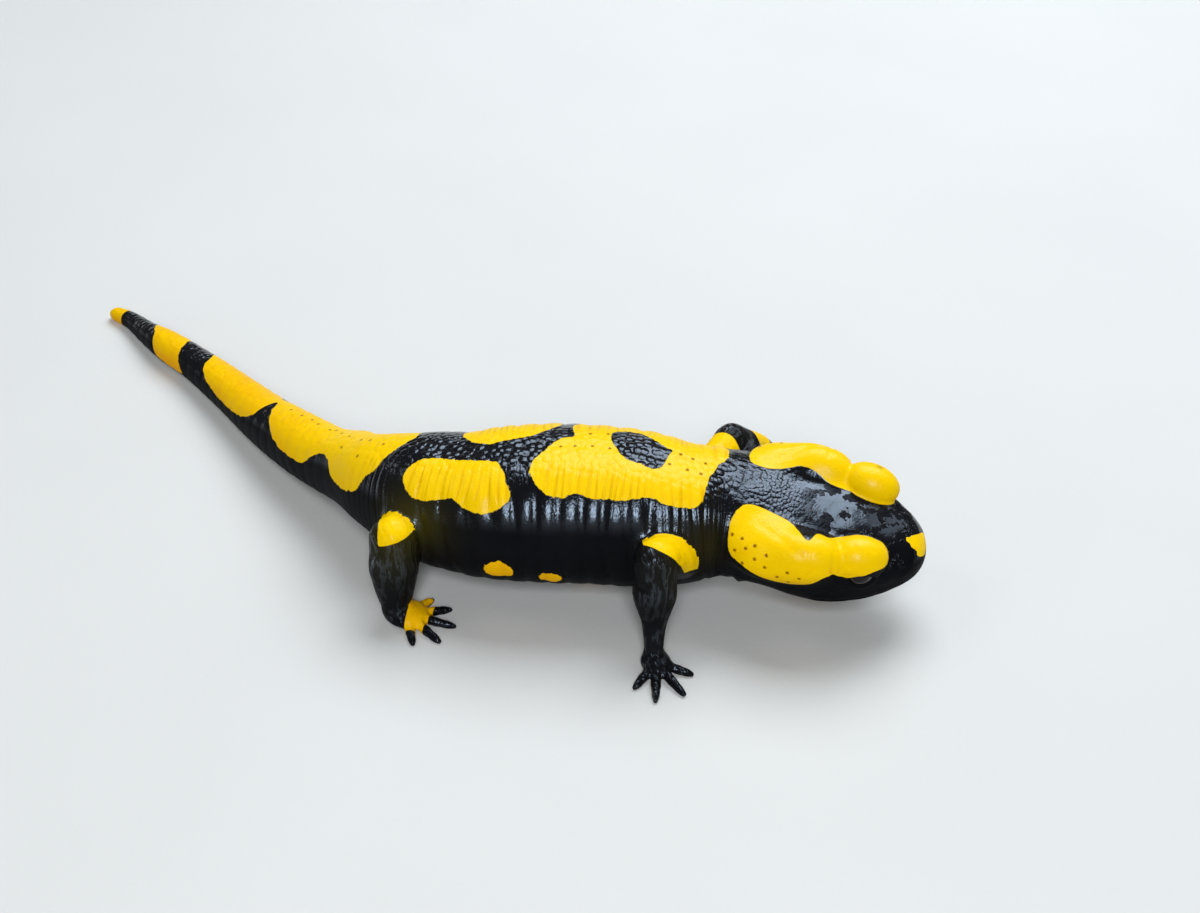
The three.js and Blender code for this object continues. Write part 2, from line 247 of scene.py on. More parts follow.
@dataclass(frozen=True)
class Crease:
    """A ridge or furrow that slants, and fades in and out along its length.

    slant is how far it moves for each step along, counted from foot.
    """

    ridge: Ridge
    slant: float
    foot: float
    starts: Span
    ends: Span

    def over(self, across: np.ndarray, along: np.ndarray) -> np.ndarray:
        """Its height, given values that grow across it and along it."""
        slanted = across + self.slant * (along - self.foot)
        return self.ridge.over(slanted) * ease(*self.starts, along) * ease(*self.ends, along)


# ---------------------------------------------------------------- the body's line


@dataclass
class Straight:
    """Points told from the body's line: along it from the snout, to the left of it and above it."""

    along: np.ndarray
    side: np.ndarray
    up: np.ndarray

    @property
    def turn(self) -> np.ndarray:
        """Degrees round the body from the middle of the back, growing down the right flank."""
        return np.degrees(np.arctan2(-self.side, self.up))


@dataclass
class Spine:
    """The line from the snout to the tail tip, with the body's girth all along it.

    A head row is the distance behind the snout, half width, height above the line, depth below it
    and roll in degrees, right side down. A body row is a place, then the same four numbers.
    """

    snout: Point = (63.0, -27.0, 9.6)
    yaw: float = 13.4
    pitch: float = 4.3
    roll: float = 12.6
    head_rows: Rows = (
        (0.0, 0.0, 0.0, 0.0, 12.6),
        (0.4, 2.2, 1.5, 1.6, 12.6),
        (1.4, 4.0, 2.5, 2.7, 12.6),
        (3.2, 5.6, 3.4, 3.7, 12.6),
        (5.6, 7.2, 4.2, 4.8, 12.6),
        (8.6, 8.6, 4.9, 5.8, 12.6),
        (12.0, 9.5, 5.4, 6.4, 12.6),
        (16.0, 9.7, 5.9, 6.0, 12.4),
        (20.0, 9.2, 6.4, 5.9, 11.5),
        (24.0, 8.9, 6.9, 6.6, 9.5),
    )
    body_rows: Rows = (
        (35.9, -20.6, 11.5, 9.2, 7.9, 7.6, 7.0),
        (30.5, -20.6, 11.5, 9.9, 9.2, 9.1, 4.0),
        (25.1, -19.9, 11.6, 10.9, 9.8, 9.9, 2.0),
        (19.7, -19.1, 11.6, 11.3, 9.9, 9.9, 0.0),
        (13.2, -18.7, 11.6, 11.5, 9.9, 9.9, 0.0),
        (6.1, -18.5, 11.4, 10.9, 9.6, 9.6, 0.0),
        (1.2, -17.7, 11.0, 10.0, 8.9, 9.1, 0.0),
        (-4.1, -16.0, 10.4, 8.9, 8.9, 8.2, 0.0),
        (-9.7, -12.7, 9.6, 6.9, 7.6, 6.3, 0.0),
        (-14.1, -8.7, 8.6, 5.5, 6.0, 4.9, 0.0),
        (-18.5, -4.4, 7.3, 4.8, 4.9, 4.6, 0.0),
        (-24.4, 2.1, 5.7, 4.5, 4.6, 4.5, 0.0),
        (-30.6, 9.6, 4.2, 4.0, 4.0, 4.0, 0.0),
        (-37.9, 18.8, 3.2, 3.3, 3.35, 3.35, 0.0),
        (-44.9, 26.9, 2.6, 2.75, 2.75, 2.75, 0.0),
        (-50.7, 32.5, 2.4, 2.5, 2.5, 2.55, 0.0),
        (-54.9, 37.0, 1.8, 1.9, 1.95, 1.95, 0.0),
        (-58.5, 41.3, 1.35, 1.45, 1.45, 1.5, 0.0),
        (-60.9, 43.4, 1.1, 1.25, 1.25, 1.25, 0.0),
        (-62.5, 44.4, 0.95, 1.0, 1.0, 1.0, 0.0),
        (-63.1, 44.7, 0.9, 0.0, 0.0, 0.0, 0.0),
    )
    head_square: float = 2.5
    body_square: float = 2.15
    nose_length: float = 7.57
    nose_girth: Point = (6.86, 4.16, 4.53)
    nose_blend: Span = (2.0, 4.5)
    tip_length: float = 2.0
    tip_girth: Point = (1.2, 1.2, 1.2)
    tip_blend: Span = (-0.2, 0.8)
    end_square: float = 2.3
    thinnest: float = 1e-3
    steepest: float = 1.5
    steps: int = 1201
    stride: int = 5

    def __post_init__(self) -> None:
        """Samples the line, its direction and the girths at even steps."""
        yaw, pitch = math.radians(self.yaw), math.radians(self.pitch)
        ahead = (math.cos(pitch) * math.cos(yaw), -math.cos(pitch) * math.sin(yaw), -math.sin(pitch))
        self.origin = np.array(self.snout)
        rolls = np.array([self.roll])
        forward, left, above = self.axes(-np.array([ahead]), rolls)
        self.head_axes = np.stack([forward[0], left[0], above[0]])
        head = [self.origin - self.head_axes[0] * row[0] for row in self.head_rows]
        knots = np.array(head + [row[:3] for row in self.body_rows])
        girths = [row[1:] + (self.head_square,) for row in self.head_rows]
        girths += [row[3:] + (self.body_square,) for row in self.body_rows]
        place = np.linspace(0, len(knots) - 1, self.steps)
        self.line = through(knots, place)
        self.girth = through(np.array(girths), place)
        self.girth[:, :3] = np.maximum(self.girth[:, :3], self.thinnest)
        heading = np.gradient(self.line, axis=0)
        self.heading = heading / np.linalg.norm(heading, axis=1)[:, None]
        leaps = np.linalg.norm(np.diff(self.line, axis=0), axis=1)
        self.arc = np.concatenate([[0.0], np.cumsum(leaps)])
        self.slope = np.gradient(self.girth[:, :3], self.arc, axis=0)

    @property
    def length(self) -> float:
        """The length of the line."""
        return float(self.arc[-1])

    @staticmethod
    def axes(heading: np.ndarray, roll: np.ndarray) -> tuple[np.ndarray, np.ndarray, np.ndarray]:
        """The directions forward, left and up of sections.

        Args:
            heading: directions towards the tail, one row each.
            roll: degrees, right side down.

        Returns:
            Three arrays of directions.
        """
        forward = -heading / np.linalg.norm(heading, axis=1)[:, None]
        level = np.cross([0.0, 0.0, 1.0], forward)
        level /= np.linalg.norm(level, axis=1)[:, None]
        turn = np.radians(roll)[:, None]
        left = level * np.cos(turn) + np.cross(forward, level) * np.sin(turn)
        return forward, left, np.cross(forward, left)

    def at(self, table: np.ndarray, along: np.ndarray) -> np.ndarray:
        """Reads a table of the line's samples at distances along it."""
        return np.stack([np.interp(along, self.arc, column) for column in table.T], axis=1)

    def straighten(self, points: np.ndarray) -> Straight:
        """Tells points from the line.

        Args:
            points: places in the model's frame.

        Returns:
            The same places along, beside and above the line.
        """
        coarse = self.line[:: self.stride]
        nearest = np.concatenate(
            [
                ((coarse**2).sum(1) - 2 * part @ coarse.T).argmin(1)
                for part in np.array_split(points, max(1, len(points) // BATCH))
            ]
        )
        nearest *= self.stride
        offset = ((points - self.line[nearest]) * self.heading[nearest]).sum(1)
        along = self.arc[nearest] + offset
        for _ in range(2):
            centre, heading = self.at(self.line, along), self.at(self.heading, along)
            heading /= np.linalg.norm(heading, axis=1)[:, None]
            held = np.clip(along, 0.0, self.length)
            along = held + ((points - centre) * heading).sum(1)
        _, left, above = self.axes(heading, np.interp(along, self.arc, self.girth[:, 3]))
        offset = points - centre
        return Straight(along, (offset * left).sum(1), (offset * above).sum(1))

    def lay(self, along: np.ndarray, side: np.ndarray, up: np.ndarray) -> np.ndarray:
        """Places that lie at given distances along, beside and above the line."""
        roll = np.interp(along, self.arc, self.girth[:, 3])
        _, left, above = self.axes(self.at(self.heading, along), roll)
        return self.at(self.line, along) + left * side[:, None] + above * up[:, None]

    def surface(self, along: float, turn: float) -> np.ndarray:
        """The place on the body's skin at a distance from the snout and a turn from the back."""
        spot = np.array([along])
        half, rise, drop, _, square = self.at(self.girth, spot)[0]
        across, height = -math.sin(math.radians(turn)), math.cos(math.radians(turn))
        tall = rise if height > 0 else drop
        fullness = (abs(across / half) ** square + abs(height / tall) ** square) ** (1 / square)
        return self.lay(spot, np.array([across / fullness]), np.array([height / fullness]))[0]

    def in_head(self, points: np.ndarray) -> np.ndarray:
        """Points in the head's own frame: forward of the snout tip, left and up."""
        return (points - self.origin) @ self.head_axes.T

    @staticmethod
    def ovals(place: Straight, girth: np.ndarray, square: np.ndarray) -> tuple[np.ndarray, np.ndarray]:
        """How far out points lie, as a share of their section, and how fast that grows.

        Args:
            place: the points, told from the line.
            girth: half width, rise and drop for each point.
            square: how square each section is.

        Returns:
            The shares, 1 on the skin, and their growth per millimetre.
        """
        half, tall = girth[:, 0], np.where(place.up > 0, girth[:, 1], girth[:, 2])
        across, height = np.abs(place.side) + OFF_LINE, np.abs(place.up) + OFF_LINE
        share = ((across / half) ** square + (height / tall) ** square) ** (1 / square)
        slant = np.hypot(across ** (square - 1) / half**square, height ** (square - 1) / tall**square)
        return share, slant * share ** (1 - square)

    def dome(self, place: Straight, ahead: np.ndarray, length: float, girth: Point) -> np.ndarray:
        """Signed distances to the rounded end of the body.

        Args:
            place: the points, told from the line.
            ahead: how far each point lies beyond the dome's foot.
            length: the dome's length.
            girth: half width, rise and drop at its foot.

        Returns:
            One distance per point.
        """
        square = np.full(len(ahead), self.end_square)
        share, growth = self.ovals(place, np.tile(girth, (len(ahead), 1)), square)
        whole = np.hypot(share, ahead / length)
        return (whole - 1) * whole / np.hypot(share * growth, ahead / length**2)

    def distance(self, place: Straight) -> np.ndarray:
        """Signed distances to the bare body: the loft without glands, lids and limbs."""
        table = self.at(self.girth, place.along)
        share, growth = self.ovals(place, table[:, :3], table[:, 4])
        tilt = self.at(self.slope, place.along).mean(1)
        tube = (share - 1) / growth / np.sqrt(1 + np.clip(tilt, -self.steepest, self.steepest) ** 2)
        nose = self.dome(place, self.nose_length - place.along, self.nose_length, self.nose_girth)
        foot = self.length - self.tip_length
        tip = self.dome(place, np.maximum(place.along - foot, 0), self.tip_length, self.tip_girth)
        tube = nose + (tube - nose) * ease(*self.nose_blend, place.along)
        return tube + (tip - tube) * ease(*self.tip_blend, place.along - foot)


# ---------------------------------------------------------------- starting shapes


class Clay:
    """Starting shapes in millimetres, put together to be made one closed skin."""

    def __init__(self) -> None:
        """Models the ball that the round shapes are copies of."""
        self.shapes: list[bpy.types.Object] = []
        bpy.ops.object.select_all(action="DESELECT")
        bpy.ops.mesh.primitive_uv_sphere_add(segments=20, ring_count=12, radius=1.0)
        self.ball = bpy.context.object

    def copy(self, place: Matrix) -> None:
        """Adds a copy of the ball, stretched and placed by a matrix."""
        copied = bpy.data.objects.new("clay", self.ball.data.copy())
        copied.data.transform(place)
        bpy.context.scene.collection.objects.link(copied)
        self.shapes.append(copied)

    def add_ball(self, centre: Sequence[float], radius: float) -> None:
        """Adds a round ball."""
        self.copy(Matrix.Translation(centre) @ Matrix.Scale(radius, 4))

    def add_peg(self, start: Sequence[float], end: Sequence[float], radii: tuple[float, float]) -> None:
        """Adds a tapering peg with a ball at each end.

        Args:
            start: the middle of its first end.
            end: the middle of its last end.
            radii: its radius at each end.
        """
        run = Vector(end) - Vector(start)
        bpy.ops.object.select_all(action="DESELECT")
        bpy.ops.mesh.primitive_cone_add(
            vertices=16,
            radius1=radii[0],
            radius2=radii[1],
            depth=run.length,
            location=Vector(start) + run / 2,
            rotation=run.to_track_quat("Z", "Y").to_euler(),
        )
        peg = bpy.context.object
        bpy.ops.object.transform_apply(location=True, rotation=True, scale=True)
        self.shapes.append(peg)
        self.add_ball(start, radii[0])
        self.add_ball(end, radii[1])

    def add_body(self, spine: Spine, rings: int = 90, sides: int = 28, inset: Span = (0.25, 0.15)) -> None:
        """Extrudes the body straight, ring by ring, then lays it along its line.

        Args:
            spine: the line and girths to follow.
            rings: how many rings it has.
            sides: corners of a ring.
            inset: how far its ends lie inside those of the line.
        """
        places = np.linspace(inset[0], spine.length - inset[1], rings)
        girths = spine.at(spine.girth, places)
        tall = (girths[:, 1] + girths[:, 2]) / 2
        bpy.ops.object.select_all(action="DESELECT")
        bpy.ops.mesh.primitive_circle_add(
            vertices=sides,
            radius=1.0,
            fill_type="NGON",
            location=(-places[0], 0, 0),
            rotation=(0, math.pi / 2, 0),
        )
        body = bpy.context.object
        bpy.ops.object.transform_apply(location=True, rotation=True, scale=True)
        bpy.ops.object.mode_set(mode="EDIT")
        bpy.ops.mesh.select_all(action="SELECT")
        bpy.ops.transform.resize(value=(1, girths[0, 0], tall[0]), center_override=(-places[0], 0, 0))
        for here in range(1, rings):
            step = (places[here - 1] - places[here], 0, 0)
            bpy.ops.mesh.extrude_region_move(TRANSFORM_OT_translate={"value": step})
            growth = (1, girths[here, 0] / girths[here - 1, 0], tall[here] / tall[here - 1])
            bpy.ops.transform.resize(value=growth, center_override=(-places[here], 0, 0))
        bpy.ops.mesh.select_all(action="SELECT")
        bpy.ops.mesh.normals_make_consistent(inside=False)
        bpy.ops.object.mode_set(mode="OBJECT")
        straight = read_points(body)
        write_points(body, spine.lay(-straight[:, 0], straight[:, 1], straight[:, 2]))
        self.shapes.append(body)

    def made_one(self, name: str, grain: float) -> bpy.types.Object:
        """Joins all the shapes and remakes them as one closed surface.

        Args:
            name: the piece's name.
            grain: the width of a face.

        Returns:
            The piece, still in millimetres.
        """
        bpy.ops.object.select_all(action="DESELECT")
        for shape in self.shapes:
            shape.select_set(True)
        whole = self.shapes[0]
        bpy.context.view_layer.objects.active = whole
        bpy.ops.object.join()
        bpy.data.objects.remove(self.ball)
        whole.name = whole.data.name = name
        whole.data.remesh_voxel_size = grain
        bpy.ops.object.voxel_remesh()
        return whole


def read_rows(items: bpy.types.bpy_prop_collection, name: str) -> np.ndarray:
    """A vector of each of a mesh's items, one row each."""
    flat = np.empty(len(items) * 3)
    items.foreach_get(name, flat)
    return flat.reshape(-1, 3)


def read_points(piece: bpy.types.Object) -> np.ndarray:
    """The piece's vertices, one row each."""
    return read_rows(piece.data.vertices, "co")


def write_points(piece: bpy.types.Object, points: np.ndarray) -> None:
    """Moves the piece's vertices."""
    piece.data.vertices.foreach_set("co", points.ravel())
    piece.data.update()


def read_normals(piece: bpy.types.Object) -> np.ndarray:
    """The directions out of the piece at its vertices, one row each."""
    return read_rows(piece.data.vertex_normals, "vector")


def relaxed(piece: bpy.types.Object, points: np.ndarray, share: float) -> np.ndarray:
    """Moves each point towards the middle of its neighbours.

    Args:
        piece: the mesh that says which points are neighbours.
        points: the points, one row each.
        share: how far to go, from 0 to 1.

    Returns:
        The moved points.
    """
    ends = np.empty(len(piece.data.edges) * 2, int)
    piece.data.edges.foreach_get("vertices", ends)
    ends = ends.reshape(-1, 2)
    starts, stops = np.concatenate([ends, ends[:, ::-1]]).T
    count = np.bincount(starts, minlength=len(points))
    sums = [np.bincount(starts, points[stops, axis], minlength=len(points)) for axis in range(3)]
    return points + share * (np.stack(sums, axis=1) / count[:, None] - points)


# ---------------------------------------------------------------- parts of the head


def oval_distance(inner: np.ndarray, half: Point) -> np.ndarray:
    """Signed distances to an oval, from points told from its middle along its axes.

    Args:
        inner: the points, one row each.
        half: half the oval's size along each axis.

    Returns:
        One distance per point.
    """
    share = np.linalg.norm(inner / half, axis=1)
    growth = np.linalg.norm(inner / np.square(half), axis=1) + TINY
    return share * (share - 1) / growth


@dataclass(frozen=True)
class Swelling:
    """An oval bulge on one side of the head: a gland or an eyelid.

    at is back, side and up from the snout tip. half is its half length, width and height. toe turns
    it in towards the nose and bank leans it outwards, in degrees.
    """

    at: Point
    half: Point
    toe: float
    bank: float
    soft: float

    def frame(self, side: int) -> Matrix:
        """Its turn and place in the head's own frame, for the left (1) or right (-1)."""
        turn = Matrix.Rotation(-side * math.radians(self.toe), 4, "Z")
        lean = Matrix.Rotation(side * math.radians(self.bank), 4, "X")
        return Matrix.Translation((-self.at[0], side * self.at[1], self.at[2])) @ turn @ lean

    def distance(self, in_head: np.ndarray, side: int) -> np.ndarray:
        """Signed distances to it from points in the head's own frame."""
        frame = np.array(self.frame(side))
        return oval_distance((in_head - frame[:3, 3]) @ frame[:3, :3], self.half)


REAR_GLAND = Swelling((19.9, 6.9, 3.1), (6.1, 4.1, 3.4), 0, -18, 1.3)


@dataclass
class Head:
    """The head's bulges, and the fine relief of its mouth, nostrils, lids and glands.

    Places on its side are millimetres back from the snout and degrees down from the top.
    """

    right_swellings: tuple[Swelling, ...] = (
        REAR_GLAND,
        Swelling((15.2, 7.5, 3.9), (5.2, 3.3, 3.5), 8, -18, 1.3),
        Swelling((8.7, 5.8, 3.9), (4.0, 2.9, 2.9), 14, -14, 0.35),
    )
    left_swellings: tuple[Swelling, ...] = (
        REAR_GLAND,
        Swelling((15.9, 7.2, 3.9), (5.2, 3.3, 3.5), 8, -18, 1.3),
        Swelling((9.0, 6.2, 4.4), (4.0, 2.9, 2.9), 9, -14, 0.35),
    )
    right_eye: Point = (8.3, 6.6, 2.7)
    left_eye: Point = (8.5, 6.9, 3.1)
    eye_radius: float = 2.1
    eye_front: float = 4.0
    eye_rim: Ridge = Ridge(0.36, 0.26, 0.2)
    eye_rim_top: Span = (0.9, -0.1)
    eye_furrow: Ridge = Ridge(0.05, 0.12, -0.12)
    mouth_back: float = 14.2
    mouth_height: float = -2.4
    mouth_tilt: float = 5.0
    mouth_corner: Span = (-1.5, 0.3)
    lips: tuple[Ridge, ...] = (Ridge(0.0, 0.2, -0.24), Ridge(0.55, 0.45, 0.12), Ridge(-0.5, 0.4, 0.08))
    nostril: Point = (1.7, 2.5, 1.0)
    nostril_squash: Point = (1.0, 1.0, 1.2)
    nostril_shape: tuple[Ridge, ...] = (Ridge(0.55, 0.25, 0.1), Ridge(0.0, 0.3, -0.4))
    snout_depth: float = 5.0
    lid_margin: float = 0.3
    lid_floor: float = 3.6
    lid_crease: Crease = Crease(Ridge(12.2, 0.32, -0.26), 0.033, 43, (44, 64), (84, 76))
    cheek_furrow: Crease = Crease(Ridge(15.1, 0.4, -0.13), 0.02, 45, (38, 46), (72, 60))
    gland_furrow: Crease = Crease(Ridge(42, 3.2, -0.12), 2.1, 22, (14.8, 16), (23, 21.5))

    def swellings(self) -> Iterator[tuple[Swelling, int]]:
        """Each bulge, two parts of a gland and a lid on each side, with its side."""
        for side, swellings in ((1, self.left_swellings), (-1, self.right_swellings)):
            for swelling in swellings:
                yield swelling, side

    def shape(self, clay: Clay, spine: Spine) -> None:
        """Adds the bulges to the clay."""
        basis = Matrix([list(axis) for axis in spine.head_axes]).transposed().to_4x4()
        head = Matrix.Translation(spine.snout) @ basis
        for swelling, side in self.swellings():
            stretch = Matrix.Diagonal((*swelling.half, 1))
            clay.copy(head @ swelling.frame(side) @ stretch)

    def distance(self, in_head: np.ndarray, bare: np.ndarray) -> np.ndarray:
        """Signed distances to the body with the bulges on it."""
        whole = bare
        for swelling, side in self.swellings():
            whole = fused(whole, swelling.distance(in_head, side), swelling.soft)
        return whole

    def eye_centre(self, side: int) -> np.ndarray:
        """The middle of an eye in the head's own frame."""
        back, out, up = self.left_eye if side == 1 else self.right_eye
        return np.array([-back, side * out, up])

    def lid_cover(self, in_head: np.ndarray) -> np.ndarray:
        """Signed distances to the edge of the yellow that covers the left lid."""
        lid = self.left_swellings[-1].distance(in_head, 1)
        return np.maximum(lid - self.lid_margin, self.lid_floor - in_head[:, 2])

    def about_snout(self, in_head: np.ndarray) -> tuple[np.ndarray, np.ndarray]:
        """Points seen from inside the snout: across in millimetres and up in degrees."""
        ahead, left, above = (in_head + (self.snout_depth, 0.0, 0.0)).T
        across = np.arctan2(left, ahead) * self.snout_depth
        return across, np.degrees(np.arctan2(above, np.hypot(ahead, left)))

    def relief(self, in_head: np.ndarray) -> np.ndarray:
        """Heights of the fine shape of the face over the smooth head.

        Args:
            in_head: points in the head's own frame.

        Returns:
            One height per point, in millimetres.
        """
        forward, left, above = in_head.T
        back, slope = -forward, np.degrees(np.arctan2(np.abs(left), above))
        line = self.mouth_height + (forward + self.mouth_back) * math.tan(math.radians(self.mouth_tilt))
        gape = 1 - ease(*self.mouth_corner, back - self.mouth_back)
        height = gape * sum(lip.over(above - line) for lip in self.lips)
        for side in (1, -1):
            hole = np.array([-self.nostril[0], side * self.nostril[1], self.nostril[2]])
            gap = np.linalg.norm((in_head - hole) * self.nostril_squash, axis=1)
            height += sum(ring.over(gap) for ring in self.nostril_shape)
            eye = self.eye_centre(side)
            ball = np.linalg.norm(in_head - eye, axis=1) - self.eye_radius
            rim = self.eye_rim.over(ball) * ease(*self.eye_rim_top, above - eye[2])
            height += (rim + self.eye_furrow.over(ball)) * (side * left > self.eye_front)
        height += self.lid_crease.over(back, slope) + self.cheek_furrow.over(back, slope)
        return height + self.gland_furrow.over(slope, back)


# ---------------------------------------------------------------- limbs


@dataclass(frozen=True)
class Paw:
    """A hand or foot: a flat palm and a fan of digits, pressed on the floor.

    root_lift, tip_lift and tip_girth are shares of a digit's radius. knuckles are shares of its
    length, each with the share of the radius that it has there.
    """

    palm: Point
    fan: tuple[float, ...]
    lengths: tuple[float, ...]
    radius: float
    soft: float = 0.45
    sunk: float = 0.14
    root_lift: float = 1.15
    tip_lift: float = 0.65
    tip_girth: float = 0.55
    knuckles: Rows = (
        (0.0, 1.0), (0.22, 0.9), (0.4, 0.86), (0.52, 0.92), (0.68, 0.78), (0.8, 0.8), (0.93, 0.66),
        (1.0, 0.5),
    )

    def palm_centre(self, wrist: Point, heading: float) -> np.ndarray:
        """The middle of the palm, ahead of the wrist and pressed on the floor."""
        ahead = 0.5 * self.palm[0]
        reach = (ahead * math.cos(heading), ahead * math.sin(heading))
        return np.array([wrist[0] + reach[0], wrist[1] + reach[1], self.palm[2] - self.sunk])

    def digits(self, wrist: Point, heading: float, side: int) -> list[tuple[np.ndarray, np.ndarray]]:
        """The root and tip of each digit."""
        centre, ahead = self.palm_centre(wrist, heading), 0.5 * self.palm[0]
        ends = []
        for spread, length in zip(self.fan, self.lengths):
            angle = heading + side * math.radians(spread)
            out = np.array([math.cos(angle), math.sin(angle), 0.0])
            root = centre + ahead * out
            tip = root + length * out
            root[2], tip[2] = self.root_lift * self.radius, self.tip_lift * self.radius - self.sunk
            ends.append((root, tip))
        return ends

    def shape(self, clay: Clay, wrist: Point, heading: float, side: int) -> None:
        """Adds the palm and digits to the clay."""
        stretch = Matrix.Rotation(heading, 4, "Z") @ Matrix.Diagonal((*self.palm, 1))
        clay.copy(Matrix.Translation(self.palm_centre(wrist, heading)) @ stretch)
        for root, tip in self.digits(wrist, heading, side):
            clay.add_peg(root, tip, (self.radius, self.tip_girth * self.radius))

    def distance(self, points: np.ndarray, wrist: Point, heading: float, side: int) -> np.ndarray:
        """Signed distances to the palm and digits."""
        cosine, sine = math.cos(heading), math.sin(heading)
        turn = np.array([[cosine, -sine, 0], [sine, cosine, 0], [0, 0, 1]])
        whole = oval_distance((points - self.palm_centre(wrist, heading)) @ turn, self.palm)
        shares, fullness = np.array(self.knuckles).T
        fingers = []
        for root, tip in self.digits(wrist, heading, side):
            share, gap = told_from(points, root, tip)
            fingers.append(gap - np.interp(share, shares, fullness * self.radius))
        return fused(whole, np.min(fingers, axis=0), self.soft)


def told_from(points: np.ndarray, start: np.ndarray, end: np.ndarray) -> tuple[np.ndarray, np.ndarray]:
    """Tells points from a straight line between two ends.

    Args:
        points: the places.
        start: the line's first end.
        end: its last end.

    Returns:
        The nearest share of the line, from 0 to 1, and the distance to it, for each point.
    """
    run = np.asarray(end, float) - start
    share = np.clip((points - start) @ run / (run @ run), 0, 1)
    return share, np.linalg.norm(points - start - share[:, None] * run, axis=1)


@dataclass(frozen=True)
class Limb:
    """A leg: the joint in the body, the elbow or knee, the wrist or ankle, and the paw.

    radii are those of the socket, the elbow or knee, the calf, the shin and the wrist or ankle. calf_at
    and shin_at are shares of the lower limb, and calf_reach is where the clay's calf is fullest.
    """

    socket: Point
    bend: Point
    end: Point
    radii: tuple[float, float, float, float, float]
    heading: float
    side: int
    paw: Paw
    soft: float = 1.7
    bend_soft: float = 0.7
    wrist_soft: float = 0.9
    bend_girth: float = 0.95
    calf_at: float = 0.38
    shin_at: float = 0.7
    calf_reach: float = 0.4
    clay_slack: float = 0.9
    girth_steps: int = 31
    slant: float = 0.5

    def lower_girth(self) -> tuple[np.ndarray, np.ndarray]:
        """Shares of the lower limb and its radius at each."""
        _, joint, calf, shin, wrist = self.radii
        rows = [[0, self.bend_girth * joint], [self.calf_at, calf], [self.shin_at, shin], [1, wrist]]
        places = np.linspace(0, len(rows) - 1, self.girth_steps)
        share, radius = through(np.array(rows, float), places).T
        return share, radius

    def shape(self, clay: Clay) -> None:
        """Adds the limb to the clay."""
        root, joint, calf, _, wrist = self.radii
        fullest = tuple(np.array(self.bend) + self.calf_reach * (np.array(self.end) - self.bend))
        clay.add_peg(self.socket, self.bend, (root, joint))
        clay.add_peg(self.bend, fullest, (self.clay_slack * joint, calf))
        clay.add_peg(fullest, self.end, (self.clay_slack * calf, wrist))
        self.paw.shape(clay, self.end, math.radians(self.heading), self.side)

    def distance(self, points: np.ndarray) -> np.ndarray:
        """Signed distances to the limb."""
        socket, bend, end = (np.array(place) for place in (self.socket, self.bend, self.end))
        share, gap = told_from(points, socket, bend)
        upper = gap - self.radii[0] - (self.radii[1] - self.radii[0]) * share
        share, gap = told_from(points, bend, end)
        lower = gap - np.interp(share, *self.lower_girth())
        paw = self.paw.distance(points, self.end, math.radians(self.heading), self.side)
        return fused(fused(upper, lower, self.bend_soft), paw, self.wrist_soft)

    def told(self, points: np.ndarray) -> np.ndarray:
        """Points told from the limb: along it from the socket, and two ways across."""
        socket, bend, end = (np.array(place) for place in (self.socket, self.bend, self.end))
        upper_share, upper_gap = told_from(points, socket, bend)
        lower_share, lower_gap = told_from(points, bend, end)
        upper, lower = np.linalg.norm(bend - socket), np.linalg.norm(end - bend)
        on_lower = lower_gap < upper_gap
        along = np.where(on_lower, upper + lower * lower_share, upper * upper_share)
        on_shin = bend + lower_share[:, None] * (end - bend)
        on_arm = socket + upper_share[:, None] * (bend - socket)
        ahead, left, above = (points - np.where(on_lower[:, None], on_shin, on_arm)).T
        return np.stack([along, ahead + self.slant * left, above - self.slant * left], axis=1)


HAND = Paw((2.4, 2.0, 1.15), (-56, -18, 18, 52), (3.6, 4.9, 5.0, 3.6), 0.72)
FOOT = Paw((2.9, 2.6, 1.3), (-66, -34, -4, 26, 58), (3.2, 4.5, 5.2, 5.0, 3.6), 0.74)


class Leg(Enum):
    """The four limbs."""

    FRONT_RIGHT = Limb(
        (32.5, -25.1, 9.0), (26.9, -33.1, 13.7), (26.7, -37.5, 2.3),
        (3.1, 2.8, 2.85, 1.64, 1.25), -74, -1, HAND,
    )
    FRONT_LEFT = Limb(
        (32.5, -14.3, 9.2), (38.6, -4.2, 10.7), (48.1, 1.7, 2.5),
        (3.1, 2.7, 2.5, 1.6, 1.3), 50, 1, HAND,
    )
    HIND_RIGHT = Limb(
        (-4.3, -18.9, 8.2), (-7.8, -26.1, 11.4), (-7.8, -29.1, 2.4),
        (3.5, 3.1, 3.35, 2.8, 2.0), -18, -1, FOOT,
    )
    HIND_LEFT = Limb(
        (-7.9, -9.7, 8.2), (-14.3, -3.1, 8.2), (-16.7, 2.1, 2.4),
        (3.4, 2.9, 2.7, 2.2, 1.6), 66, 1, FOOT,
    )


# ---------------------------------------------------------------- yellow markings


@dataclass(frozen=True)
class Patch:
    """A yellow patch of the body. Each corner is a distance from the snout and a turn from the back."""

    outline: Rows
    girth: float
    islands: tuple[Rows, ...] = ()

    def distance(self, along: np.ndarray, turn: np.ndarray) -> np.ndarray:
        """Signed distances to its edge over the skin, negative inside.

        Args:
            along: distances from the snout.
            turn: turns from the back, in degrees.

        Returns:
            One distance per point.
        """
        scale = np.array([1.0, math.radians(self.girth)])
        shifted = np.stack([along, turn], axis=1) * scale
        edge = inside_distance(shifted, closed_curve(self.outline) * scale)
        for island in self.islands:
            edge = np.maximum(edge, -inside_distance(shifted, closed_curve(island) * scale))
        return edge


